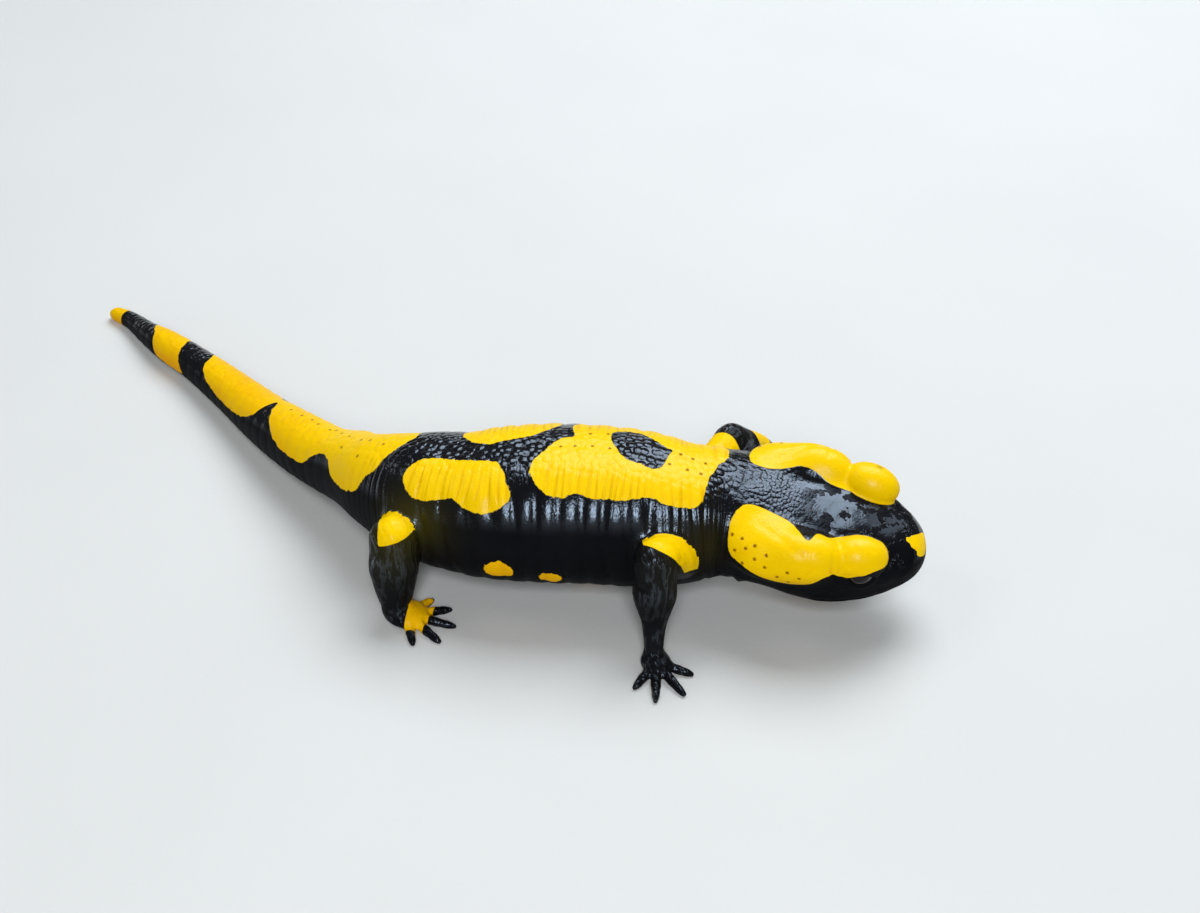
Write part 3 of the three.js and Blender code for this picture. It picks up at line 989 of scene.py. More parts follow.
@dataclass(frozen=True)
class Spot:
    """A small round yellow spot of the body."""

    along: float
    turn: float
    radius: float
    girth: float = 10.0
    stretch: float = 1.0

    def distance(self, along: np.ndarray, turn: np.ndarray) -> np.ndarray:
        """Signed distances to its edge."""
        round_body = np.radians((turn - self.turn + HALF_TURN) % (2 * HALF_TURN) - HALF_TURN) * self.girth
        return np.hypot((along - self.along) / self.stretch, round_body) - self.radius


@dataclass(frozen=True)
class Cap:
    """A yellow part of a limb: what lies beyond every one of some planes.

    A plane is a direction and the distance of the plane along it from the origin.
    """

    leg: Leg
    planes: Rows

    def distance(self, points: np.ndarray) -> np.ndarray:
        """Signed distances to its edge, for points of the limb."""
        sides = []
        for *direction, reach in self.planes:
            length = math.sqrt(sum(part * part for part in direction))
            sides.append((reach - points @ np.array(direction)) / length)
        return np.max(sides, axis=0)


PATCHES = (
    Patch(  # right side of the head
        (
            (25.3, 50), (25.2, 62), (24.6, 73), (23, 76), (21.2, 79), (19, 81), (17.5, 84.5),
            (15.6, 83), (14.1, 79), (12.9, 71), (12, 67.5), (11.3, 68), (10.4, 71), (9.3, 70),
            (8.0, 67), (6.8, 62.5), (5.8, 59.5), (5.2, 57.5), (4.95, 54), (4.95, 48), (5.35, 41),
            (6.2, 33), (7.6, 31), (9.1, 30.8), (10.3, 34.6), (11.6, 38.5), (12.8, 41), (14.4, 39.3),
            (15.4, 45), (16.6, 42), (18.4, 34), (20.4, 30), (22.8, 27), (24.2, 29), (24.9, 38),
        ),
        9.5,
    ),
    Patch(  # left side of the head
        (
            (24.9, -30), (25.4, -46), (25.0, -64), (23.6, -77), (20.5, -83), (17, -86), (14, -81),
            (12.3, -71), (11, -69), (8.3, -66), (6.4, -62), (5.4, -55), (5.6, -49), (6.2, -45),
            (7.2, -41), (8.6, -36), (9.9, -33.5), (11.4, -36), (12.4, -35.5), (14, -34.5),
            (17, -37), (18.6, -37.5), (19.8, -35), (21.4, -31), (23.2, -28),
        ),
        9.5,
    ),
    Patch(  # right flank, behind the middle
        (
            (67.9, 37), (67.6, 27), (66.6, 18), (64.5, 13.5), (60.3, 15), (57.6, 17), (56.6, 24),
            (56.0, 36), (55.5, 47), (56.3, 53), (58.3, 59), (60.2, 56), (61.8, 49.5), (64.8, 53),
            (66.4, 51), (67.3, 45),
        ),
        10.0,
    ),
    Patch(  # left of the back, behind the middle
        (
            (62.6, -20), (60.4, -8.5), (58.5, -5), (56.6, -8), (53.4, -13), (51, -24),
            (49.5, -39), (50.5, -52), (54, -62), (59, -60), (62, -48), (63.2, -32),
        ),
        10.0,
    ),
    Patch(  # across the shoulders
        (
            (53.2, 26), (53, 30), (52.3, 38), (50.5, 46), (48.6, 47), (47.1, 44), (44.8, 47),
            (42, 46), (39.8, 44), (36.8, 39), (35.4, 41.5), (33.9, 43), (32.2, 42.5),
            (31.2, 38.5), (30.5, 28), (30.0, 15), (28.9, 1), (28.0, -13), (27.4, -24),
            (27.5, -40), (28.0, -62), (29.0, -84), (31, -98), (35.2, -94), (36, -72), (39, -55),
            (43, -55), (46.5, -50), (47.4, -41), (48.3, -30), (47.7, -13), (49, -10),
            (50.2, -4), (51.3, 6), (52.9, 18),
        ),
        10.6,
        (
            (
                (43.1, -21), (41.6, -27), (39.5, -28), (38.2, -24), (36, -14), (35, -12),
                (35.1, -5), (36.1, 12), (37, 15), (38, 13), (40.6, 9), (42.6, -7),
            ),
        ),
    ),
    Patch(  # root of the tail
        (
            (102.7, -6), (101.6, 15), (99.4, 41), (96.4, 63), (93.4, 71), (89.7, 73), (88, 64),
            (85.9, 46), (84.1, 39), (82.4, 45), (80.8, 63), (78.4, 71), (75.8, 67), (74.5, 60),
            (73.5, 46), (72.2, 35), (71.6, 22), (70.9, 11), (70.3, -1), (69.7, -10),
            (70.4, -24), (71.5, -45), (75, -64), (80, -70), (85, -55), (90, -68), (96, -66),
            (101, -50), (104, -38), (103.8, -20),
        ),
        5.6,
    ),
    Patch(  # middle of the tail
        (
            (125.8, -40), (124.6, -12), (123.7, 20), (122.6, 40), (119.8, 60), (114.4, 73),
            (108.8, 67), (105.2, 48), (103.9, 16), (103.4, -8), (103.2, -20), (105.6, -42),
            (109, -70), (114, -92), (120, -90), (124.8, -70),
        ),
        4.2,
    ),
    Patch(  # rear of the tail
        (
            (137, 93), (138.3, 32), (140.0, 0), (140.9, -24), (140.8, -70), (139.5, -105),
            (136, -122), (133, -112), (132.3, -80), (132.2, -33), (131.5, 0), (131, 29),
            (129.8, 80), (129.2, 106), (132, 124), (135.5, 118),
        ),
        2.7,
    ),
    Patch(  # left flank, low
        (
            (64.5, -84), (61.5, -78), (58, -80), (56.6, -92), (58.5, -104), (62, -106), (65.4, -97),
        ),
        9.6,
    ),
    Patch(  # left flank, middle
        (
            (47.4, -78), (44.2, -74), (41.0, -79), (40.2, -93), (42.8, -101), (46.8, -97),
        ),
        10.4,
    ),
)

SNOUT_SPOT = Patch(  # across in millimetres and up in degrees, seen from inside the snout
    (
        (-2.27, 54), (-1.9, 57), (-1.22, 59), (-0.4, 52), (0.35, 49), (1.48, 35), (2.44, 19),
        (2.18, 10), (0.9, 8), (-0.26, 8), (-1.4, 13), (-2.44, 24), (-2.05, 30), (-2.44, 41),
        (-2.1, 47),
    ),
    5.0,
)

SPOTS = (
    Spot(155.2, 0, 5.0, 0.6),  # tail tip
    Spot(57.2, 105, 1.6),
    Spot(50.5, 112, 1.3, 10.0, 1.3),
    Spot(52.5, -114, 1.5, 10.0, 1.2),
    Spot(36.5, -116, 1.4, 10.0, 1.2),
    Spot(14.0, 152, 1.5, 6.5, 1.3),
    Spot(18.5, -158, 1.7, 6.5, 1.2),
    Spot(22.0, 166, 1.2, 6.8),
    Spot(45.0, 164, 1.6, 9.5, 1.4),
    Spot(60.5, -168, 1.5, 9.3, 1.3),
)

CAPS = (
    Cap(Leg.FRONT_RIGHT, ((0.432, 0.742, 0.512, -5.15), (0.35, 0.0, 1.0, 21.6), (1.0, 0.0, 0.0, 25.2))),
    Cap(Leg.FRONT_LEFT, ((-0.62, -0.75, 0.25, -16.0), (0.0, 0.0, 1.0, 8.4))),
    Cap(Leg.FRONT_LEFT, ((0.85, 0.5, 0.1, 35.35), (-0.75, -0.55, 0.35, -30.6), (0.1, -0.2, 1.0, 13.6))),
    Cap(Leg.HIND_RIGHT, ((-0.25, 0.15, 1.0, 10.42), (1.0, 0.0, 0.0, -9.5))),
    Cap(
        Leg.HIND_RIGHT,
        (
            (1.0, -0.2, 0.0, 0.0), (0.0, 0.0, -1.0, -3.4), (-0.95, 0.31, 0.0, -6.3),
            (0.0, 1.0, 0.0, -32.8), (0.0, -1.0, 0.0, 26.3),
        ),
    ),
    Cap(Leg.HIND_LEFT, ((-0.2, -0.25, 1.0, 12.4),)),
)

PORES = (
    (24.8, 58), (23.8, 58), (22.0, 59), (24.3, 68), (23.1, 63), (23.2, 74), (21.7, 67),
    (20.3, 62), (20.2, 70), (18.4, 75), (17.2, 69), (16.9, 79), (15.6, 72), (24.4, -56),
    (23.2, -60), (21.8, -58), (24.0, -68), (22.4, -67), (20.6, -62), (20.0, -72), (18.3, -68),
    (17.0, -76), (15.5, -70), (49.4, 1), (47.6, 0), (45.3, -1), (42.9, 0), (35.0, 6),
    (32.6, 8), (30.9, 10), (45.8, -17), (43.5, -19), (33.6, -9), (31.8, -7), (30.1, -5),
    (99.1, -11), (95.9, -11), (93.3, -13), (91.4, -11), (88.0, -9), (87.0, -14), (84.8, -9),
    (82.1, -2), (78.5, 4), (76.7, 2), (73.7, 5), (81.0, 22), (76.2, 27),
)


# ---------------------------------------------------------------- relief of the trunk, tail and limbs


@dataclass(frozen=True)
class Folds:
    """The furrows and folds that the skin shows as shape: where they lie and how deep they are.

    Spans are where something fades in or out: millimetres from the snout, or degrees from the back.
    """

    rib_furrows: tuple[float, ...] = (
        33.4, 36.2, 39.0, 42.0, 45.6, 48.9, 52.1, 54.9, 57.4, 60.0, 62.6, 65.2, 67.8,
    )
    rib_depth: float = 0.46
    rib_fullness: float = 0.6
    rib_level: float = 0.72
    rib_wander: Bumps = Bumps(6.0, 0.35)
    rib_lean: float = 0.012
    rib_middle: float = 75.0
    rib_top: Span = (26.0, 62.0)
    rib_foot: Span = (112.0, 142.0)
    rib_fade: float = 2.0
    neck_folds: tuple[Ridge, ...] = tuple(Ridge(at, 0.35, -0.22) for at in (25.7, 27.3, 28.9, 30.6))
    neck_wander: Bumps = Bumps(5.0, 0.5, 3.0)
    neck_top: Span = (35.0, 60.0)
    throat: tuple[Ridge, ...] = (Ridge(23.6, 0.7, 0.3), Ridge(24.4, 0.4, -0.35))
    throat_top: Span = (92.0, 125.0)
    tail_pitch: float = 2.6
    tail_depth: float = 0.07
    tail_sharpness: int = 6
    tail_start: Span = (80.0, 88.0)
    tail_end: Span = (146.0, 150.0)
    tail_top: Span = (20.0, 60.0)
    vent: Ridge = Ridge(74.5, 2.6, 1.0)
    vent_top: Span = (140.0, 165.0)
    vent_height: float = 0.5
    vent_slit: Ridge = Ridge(0.0, 0.45, -0.45)
    back_furrow: Ridge = Ridge(0.0, 1.0, -0.12)
    back_start: Span = (28.0, 34.0)
    back_end: Span = (66.0, 74.0)
    lumps: tuple[Bumps, ...] = (Bumps(2.6, 0.04, 9.0), Bumps(1.2, 0.02, 5.0))
    smooth_tail: Span = (118.0, 135.0)
    limb_pitch: float = 0.95
    limb_wander: Bumps = Bumps(2.0, 0.4, 7.0)
    limb_depth: float = 0.05
    limb_sharpness: int = 3
    limb_lumps: tuple[Bumps, ...] = (Bumps(1.6, 0.05, 2.0), Bumps(3.4, 0.06, 4.0))
    elbow: Ridge = Ridge(0.0, 2.0, 0.6)
    wrist: Ridge = Ridge(0.0, 1.3, 1.0)

    def body(self, place: Straight, points: np.ndarray) -> np.ndarray:
        """Heights over the smooth body.

        Args:
            place: the points, told from the body's line.
            points: the same points in the model's frame.

        Returns:
            One height per point.
        """
        along, turn = place.along, np.abs(place.turn)
        height = self.ribs(along, turn, points)
        wavy = along + self.neck_wander.over(points)
        height += ease(*self.neck_top, turn) * sum(fold.over(wavy) for fold in self.neck_folds)
        height += ease(*self.throat_top, turn) * sum(fold.over(along) for fold in self.throat)
        tail = ease(*self.tail_start, along) * (1 - ease(*self.tail_end, along)) * ease(*self.tail_top, turn)
        rings = np.abs(np.cos(math.pi * along / self.tail_pitch)) ** self.tail_sharpness
        height -= self.tail_depth * tail * rings
        vent = self.vent.over(along) * ease(*self.vent_top, turn)
        height += vent * (self.vent_height + self.vent_slit.over(place.side))
        trunk = ease(*self.back_start, along) * (1 - ease(*self.back_end, along))
        height += self.back_furrow.over(place.side) * (place.up > 0) * trunk
        rough = sum(lump.over(points) for lump in self.lumps)
        return height + rough * (1 - ease(*self.smooth_tail, along))

    def ribs(self, along: np.ndarray, turn: np.ndarray, points: np.ndarray) -> np.ndarray:
        """Heights of the swollen folds of the flank between the rib furrows.

        Args:
            along: distances from the snout.
            turn: degrees from the middle of the back, without their side.
            points: the points in the model's frame.

        Returns:
            One height per point.
        """
        furrows = np.array(self.rib_furrows)
        shifted = along + self.rib_wander.over(points) + self.rib_lean * (turn - self.rib_middle)
        rib = np.interp(shifted, furrows, np.arange(len(furrows)), left=-1, right=len(furrows))
        within = rib - np.floor(rib)
        pillow = np.clip(4 * within * (1 - within), 0, 1) ** self.rib_fullness - self.rib_level
        flank = ease(*self.rib_top, turn) * (1 - ease(*self.rib_foot, turn))
        first = ease(0, self.rib_fade, shifted - furrows[0])
        last = ease(0, self.rib_fade, furrows[-1] - shifted)
        return self.rib_depth * pillow * flank * first * last

    def limb(self, leg: Limb, told: np.ndarray, points: np.ndarray) -> np.ndarray:
        """Heights over a smooth limb: creases about the elbow or knee and the wrist or ankle."""
        upper = math.dist(leg.socket, leg.bend)
        lower = math.dist(leg.bend, leg.end)
        wave = told[:, 0] + self.limb_wander.over(points)
        crease = np.abs(np.cos(math.pi * wave / self.limb_pitch)) ** self.limb_sharpness
        about = self.elbow.over(told[:, 0] - upper) + self.wrist.over(told[:, 0] - upper - lower)
        return sum(lump.over(points) for lump in self.limb_lumps) - self.limb_depth * crease * about


# ---------------------------------------------------------------- materials


class Wire:
    """A shader socket that takes part in sums, products and comparisons."""

    def __init__(self, recipe: "Recipe", socket: bpy.types.NodeSocket) -> None:
        """Keeps the socket and the recipe it belongs to."""
        self.recipe, self.socket = recipe, socket

    def __add__(self, other: "Wire | float") -> "Wire":
        """Adds."""
        return self.recipe.maths("ADD", self, other)

    __radd__ = __add__

    def __sub__(self, other: "Wire | float") -> "Wire":
        """Takes away."""
        return self.recipe.maths("SUBTRACT", self, other)

    def __rsub__(self, other: float) -> "Wire":
        """Is taken away."""
        return self.recipe.maths("SUBTRACT", other, self)

    def __mul__(self, other: "Wire | float") -> "Wire":
        """Multiplies."""
        return self.recipe.maths("MULTIPLY", self, other)

    __rmul__ = __mul__

    def __pow__(self, other: float) -> "Wire":
        """Raises to a power."""
        return self.recipe.maths("POWER", self, other)

    def least(self, other: "Wire | float") -> "Wire":
        """The smaller of two."""
        return self.recipe.maths("MINIMUM", self, other)

    def most(self, other: "Wire | float") -> "Wire":
        """The larger of two."""
        return self.recipe.maths("MAXIMUM", self, other)

    def size(self) -> "Wire":
        """Without its sign."""
        return self.recipe.maths("ABSOLUTE", self)

    def between(self, low: float, high: float) -> "Wire":
        """Runs from low to high as this runs from 0 to 1."""
        return self * (high - low) + low

    def about_zero(self, reach: float) -> "Wire":
        """Moves noise, which lies about a half, to lie about zero, and scales it."""
        return (self - 0.5) * reach

    def ease(self, low: float, high: float) -> "Wire":
        """A smooth step from 0 at low to 1 at high."""
        node = self.recipe.node(
            "ShaderNodeMapRange",
            {"interpolation_type": "SMOOTHSTEP"},
            {"Value": self, "From Min": low, "From Max": high},
        )
        return Wire(self.recipe, node.outputs["Result"])


@dataclass(frozen=True)
class Grain:
    """Cloudy noise: grains to a millimetre each way, finer layers and how strong those are."""

    scale: Point
    detail: float = 2.0
    rough: float = 0.5

    @staticmethod
    def even(scale: float, detail: float = 2.0, rough: float = 0.5) -> "Grain":
        """Noise that is alike in every direction."""
        return Grain((scale, scale, scale), detail, rough)


@dataclass(frozen=True)
class Pebbles:
    """Domes packed over a sheet: how many to a millimetre, how scattered and how steep-sided."""

    number: float
    scatter: float
    fall: float


class Recipe:
    """A material under construction."""

    def __init__(self, name: str) -> None:
        """Starts an empty node tree."""
        self.material = bpy.data.materials.new(name)
        self.material.use_nodes = True
        self.tree = self.material.node_tree
        self.tree.nodes.clear()

    def node(self, kind: str, settings: dict | None = None, values: dict | None = None) -> bpy.types.Node:
        """Adds a node.

        Args:
            kind: its type.
            settings: its properties, set first.
            values: numbers, colours or wires for its inputs, by name or number.

        Returns:
            The node.
        """
        made = self.tree.nodes.new(kind)
        for name, value in (settings or {}).items():
            setattr(made, name, value)
        for name, value in (values or {}).items():
            if isinstance(value, Wire):
                self.tree.links.new(value.socket, made.inputs[name])
            else:
                made.inputs[name].default_value = value
        return made

    def maths(self, operation: str, first: Wire | float, second: Wire | float = 0.0) -> Wire:
        """A Math node's result."""
        made = self.node("ShaderNodeMath", {"operation": operation}, {0: first, 1: second})
        return Wire(self, made.outputs[0])

    def scaled(self, vector: Wire, scale: Point) -> Wire:
        """A vector with each of its parts multiplied."""
        made = self.node("ShaderNodeVectorMath", {"operation": "MULTIPLY"}, {0: vector, 1: scale})
        return Wire(self, made.outputs["Vector"])

    def distance(self, vector: Wire, spot: Point) -> Wire:
        """How far a place is from a spot."""
        made = self.node("ShaderNodeVectorMath", {"operation": "DISTANCE"}, {0: vector, 1: spot})
        return Wire(self, made.outputs["Value"])

    def attribute(self, name: str, output: str = "Fac") -> Wire:
        """A value that the mesh carries at its vertices."""
        made = self.node("ShaderNodeAttribute", {"attribute_type": "GEOMETRY", "attribute_name": name})
        return Wire(self, made.outputs[output])

    def place(self) -> Wire:
        """The place on the object, in millimetres."""
        made = self.node("ShaderNodeTexCoord")
        return self.scaled(Wire(self, made.outputs["Object"]), (1 / MM, 1 / MM, 1 / MM))

    def parts(self, vector: Wire) -> tuple[Wire, Wire, Wire]:
        """The three parts of a vector."""
        made = self.node("ShaderNodeSeparateXYZ", None, {0: vector})
        return tuple(Wire(self, output) for output in made.outputs)

    def grain(self, where: Wire, grain: Grain) -> Wire:
        """Cloudy noise about 0.5, laid over the given coordinates."""
        values = {"Vector": self.scaled(where, grain.scale), "Scale": 1.0}
        values |= {"Detail": grain.detail, "Roughness": grain.rough}
        made = self.node("ShaderNodeTexNoise", {"noise_dimensions": "3D"}, values)
        return Wire(self, made.outputs["Fac"])

    def together(self, first: Wire, second: Wire) -> Wire:
        """A vector of two parts."""
        made = self.node("ShaderNodeCombineXYZ", None, {0: first, 1: second})
        return Wire(self, made.outputs[0])

    def waves(self, phase: Wire) -> Wire:
        """Rounded ridges with sharp furrows between them, one ridge for each step of 1."""
        return self.maths("SINE", phase * math.pi).size()

    def pebbles(self, where: Wire, pebbles: Pebbles) -> Wire:
        """Domes laid over the given coordinates, 1 in the middle of each and 0 between them."""
        values = {"Vector": where, "Scale": pebbles.number, "Randomness": pebbles.scatter}
        made = self.node("ShaderNodeTexVoronoi", {"feature": "F1", "voronoi_dimensions": "2D"}, values)
        gap = Wire(self, made.outputs["Distance"])
        return (1 - gap * gap * pebbles.fall).most(0.0)

    def mixed(self, share: Wire | float, first: Wire | Colour, second: Wire | Colour) -> Wire:
        """A mix of two colours."""
        made = self.node("ShaderNodeMix", {"data_type": "RGBA"}, {0: share, 6: first, 7: second})
        return Wire(self, made.outputs[2])

    def relief(self, height: Wire, strength: float = 1.0) -> Wire:
        """Surface directions for a height in millimetres."""
        values = {"Height": height, "Distance": MM, "Strength": strength}
        return Wire(self, self.node("ShaderNodeBump", None, values).outputs["Normal"])

    def surface(self, values: dict[str, object]) -> Wire:
        """A Principled surface with the given inputs."""
        return Wire(self, self.node("ShaderNodeBsdfPrincipled", None, values).outputs[0])

    def blend(self, share: Wire, first: Wire, second: Wire) -> Wire:
        """A mix of two surfaces."""
        return Wire(self, self.node("ShaderNodeMixShader", None, {0: share, 1: first, 2: second}).outputs[0])

    def cover(self, piece: bpy.types.Object, surface: Wire) -> None:
        """Ends in the given surface, and gives the piece the material."""
        self.node("ShaderNodeOutputMaterial", None, {"Surface": surface})
        piece.data.materials.clear()
        piece.data.materials.append(self.material)


def colour(red: float, green: float, blue: float) -> Colour:
    """A screen colour, 0 to 255, as the linear colour that shaders take."""
    parts = [part / 255 for part in (red, green, blue)]
    linear = [part / 12.92 if part <= 0.04045 else ((part + 0.055) / 1.055) ** 2.4 for part in parts]
    return (*linear, 1.0)


@dataclass(frozen=True)
class Pleats:
    """Pleats that run down the flanks: how many to a millimetre, how far they wander, how high."""

    number: float
    wander: float
    height: float

    def waves(self, recipe: Recipe, along: Wire, drift: Wire) -> Wire:
        """Their shape, from 0 in a furrow to 1 on a crest."""
        return recipe.waves(along * self.number + drift * self.wander)


class SkinPlan:
    """What the skin's mesh says of each place on it, as wires."""

    def __init__(self, recipe: Recipe) -> None:
        """Reads the mesh's values."""
        self.here = recipe.place()
        self.flow = recipe.attribute("flow", "Vector")
        self.along, self.side, _ = recipe.parts(self.flow)
        self.back, self.face, self.trunk = recipe.parts(recipe.attribute("zone", "Vector"))
        self.blotch, self.wet, self.calm = recipe.parts(recipe.attribute("state", "Vector"))
        self.olive, self.warmth, self.smudge = recipe.parts(recipe.attribute("hue", "Vector"))
        self.body = self.trunk * (1 - self.face)
        self.limb = (1 - self.trunk) * (1 - self.face)


@dataclass(frozen=True)
class WetSkin:
    """The animal's skin: black and yellow, wet, beaded on the back and pleated on the flanks.

    Heights are in millimetres. Where a height is a pair, it is that of black skin and of yellow.
    """

    black: Colour = colour(18, 18, 21)
    dark: Colour = colour(8, 8, 10)
    olive: Colour = colour(58, 52, 10)
    yellow: Colour = colour(239, 194, 0)
    # the orange of the painted shade down the sides and near the floor, also of random mottling and the
    # tail's own tone
    orange: Colour = colour(231, 165, 0)
    # painted shade: a darker orange for the furrows of the pleats, where shade falls
    furrow_shade: Colour = colour(206, 132, 2)
    pore: Colour = colour(132, 74, 2)
    sheen: Colour = (0.68, 0.82, 1.0, 1.0)

    comb: Grain = Grain((1.5, 0.45, 0.45), 1.0)
    comb_reach: float = 0.5
    fine: Grain = Grain.even(3.4)
    fine_reach: float = 0.3
    ragged_limb: float = 0.35
    ragged_trunk: float = 0.65
    ragged_face: float = -0.2
    edge_width: Span = (0.06, -0.06)
    pore_radius: float = 0.35
    pore_core: float = 0.105
    pore_ragged: float = 0.2

    drift: Grain = Grain((0.2, 0.05, 0.05), 1.0)
    depth: Grain = Grain((0.4, 0.1, 0.1), 1.0)
    depth_span: Span = (0.34, 0.62)
    broad: Pleats = Pleats(0.95, 3.6, 0.13)
    close: Pleats = Pleats(1.8, 5.0, 0.03)
    pleat_least: float = 0.25
    pleat_top: Span = (0.985, 0.86)
    rib_top: Span = (0.72, 0.55)
    rib_top_shift: float = 0.14
    rib_start: Span = (31.0, 37.0)
    rib_end: Span = (71.0, 66.0)
    tail_start: Span = (66.0, 80.0)
    pleat_calm: float = 0.08
    furrow_sharpness: float = 2.4
    furrow_least: float = 0.2

    bead_squash: float = 0.9
    bead: Pebbles = Pebbles(0.95, 0.85, 2.6)
    bead_top: Span = (0.78, 0.93)
    bead_height: Span = (0.1, 0.2)
    bead_on_yellow: float = 0.45
    film: Grain = Grain.even(0.45, 2.0, 0.35)
    film_on_face: Span = (0.2, 0.08)
    film_on_limb: float = 0.35
    grit_stretch: float = 1.25
    grit: Pebbles = Pebbles(1.6, 1.0, 2.0)
    grit_start: Span = (14.0, 21.0)
    grit_height: Span = (0.055, 0.01)
    streak: Grain = Grain((0.35, 1.4, 1.4))
    streak_height: Span = (0.34, 0.12)
    limb_pleat_height: float = 0.02
    fine_height: float = 0.04
    yellow_height: float = 0.03
    pore_depth: float = 0.07

    cloud: Grain = Grain.even(0.22)
    mottle: Grain = Grain.even(0.8, 3.0, 0.6)
    warm_reach: float = 0.7
    mottle_span: Span = (0.52, 0.75)
    mottle_share: float = 0.3
    furrow_shade_share: float = 0.45
    pore_share: float = 0.9
    olive_share: float = 0.8

    pool: Grain = Grain.even(0.38, 3.0, 0.6)
    pool_span: Span = (0.48, 0.505)
    crown_end: Span = (20.0, 13.0)
    pool_calm: float = 0.75
    dry_share: float = 0.93
    streak_span: Span = (0.5, 0.56)
    matt_limb: float = 0.85
    matt_yellow: float = 0.25
    film_rough: float = 0.12
    cloud_rough: float = 0.07
    yellow_rough: float = 0.12
    limb_rough: float = 0.02
    face_smooth: float = 0.04
    film_ior: float = 1.5
    dry_rough: float = 0.5
    dry_ior: float = 1.4
    dry_specular: float = 0.04

    def markings(self, recipe: Recipe, plan: SkinPlan, fine: Wire) -> Wire:
        """1 on yellow skin and 0 on black, with ragged edges between them."""
        comb = recipe.grain(plan.flow, self.comb)
        ragged = comb.about_zero(self.comb_reach) + fine.about_zero(self.fine_reach)
        reach = self.ragged_limb + self.ragged_trunk * plan.trunk + self.ragged_face * plan.face
        return (plan.blotch + ragged * reach).ease(*self.edge_width)

    def pores(self, recipe: Recipe, plan: SkinPlan, spots: np.ndarray, fine: Wire) -> Wire:
        """1 in a pore and 0 beside it.

        Args:
            recipe: the material under construction.
            plan: the mesh's values.
            spots: the places of the pores, in millimetres.
            fine: fine noise for their rims.

        Returns:
            The pores, before the yellow bounds them.
        """
        gap = recipe.distance(plan.here, tuple(spots[0]))
        for spot in spots[1:]:
            gap = recipe.distance(plan.here, tuple(spot)).least(gap)
        return (gap + fine.about_zero(self.pore_ragged)).ease(self.pore_radius, self.pore_core)

    def relief(self, recipe: Recipe, plan: SkinPlan, yellow: Wire, streak: Wire) -> tuple[Wire, Wire]:
        """The relief of the skin in millimetres, and where its pleats are deep.

        Args:
            recipe: the material under construction.
            plan: the mesh's values.
            yellow: 1 where the skin is yellow.
            streak: the streaks that run down the limbs.

        Returns:
            The height, and 1 in a pleat's furrow and 0 beside it, where the yellow gets painted shade.
        """
        drift = recipe.grain(plan.flow, self.drift)
        depth = recipe.grain(plan.flow, self.depth).ease(*self.depth_span)
        broad, close = (pleats.waves(recipe, plan.along, drift) for pleats in (self.broad, self.close))
        ribs = (plan.back - (1 - yellow) * self.rib_top_shift).ease(*self.rib_top)
        ribs = ribs * plan.along.ease(*self.rib_start) * plan.along.ease(*self.rib_end)
        tail = plan.along.ease(*self.tail_start)
        flank = plan.back.ease(*self.pleat_top) * plan.body
        flank = flank * ribs.between(1.0, self.pleat_calm) * tail.between(1.0, self.pleat_calm)
        pleat = broad * depth.between(self.pleat_least, 1.0) * self.broad.height + close * self.close.height
        bead = recipe.pebbles(recipe.together(plan.along, plan.side * self.bead_squash), self.bead)
        bead = bead * (plan.back.ease(*self.bead_top) * plan.body) * depth.between(*self.bead_height)
        height = pleat * flank + bead * yellow.between(1.0, self.bead_on_yellow)
        film = recipe.grain(plan.here, self.film)
        height = height + film * plan.face * yellow.between(*self.film_on_face)
        grit = recipe.pebbles(recipe.together(plan.along * self.grit_stretch, plan.side), self.grit)
        rear = plan.face * plan.along.ease(*self.grit_start)
        height = height + grit * rear * yellow.between(*self.grit_height)
        limb = film * self.film_on_limb + streak * yellow.between(*self.streak_height)
        height = height + plan.limb * (limb + broad * depth * self.limb_pleat_height)
        furrow = (1 - broad) ** self.furrow_sharpness * depth.between(self.furrow_least, 1.0) * flank
        return height, furrow

    def tint(self, recipe: Recipe, plan: SkinPlan, yellow: Wire, pore: Wire, furrow: Wire) -> Wire:
        """The skin's colour.

        Args:
            recipe: the material under construction.
            plan: the mesh's values.
            yellow: 1 where the skin is yellow.
            pore: 1 in a pore.
            furrow: 1 in a pleat's furrow, where painted shade darkens the yellow.

        Returns:
            The colour.
        """
        cloud = recipe.grain(plan.here, self.cloud)
        mottle = recipe.grain(plan.here, self.mottle).ease(*self.mottle_span) * self.mottle_share
        # painted shade down the sides and near the floor, and the tail's own tone, turn the yellow orange
        warmth = (plan.warmth + cloud.about_zero(self.warm_reach)).ease(0.0, 1.0)
        warm = recipe.mixed(warmth, self.yellow, self.orange)
        warm = recipe.mixed(mottle, warm, self.orange)
        # painted shade: the yellow darkened towards amber in the pleats' furrows
        warm = recipe.mixed(furrow * self.furrow_shade_share, warm, self.furrow_shade)
        warm = recipe.mixed(pore * self.pore_share, warm, self.pore)
        warm = recipe.mixed(plan.smudge, warm, self.olive)
        cold = recipe.mixed(cloud, self.dark, self.black)
        cold = recipe.mixed(plan.olive * self.olive_share, cold, self.olive)
        return recipe.mixed(yellow, cold, warm)

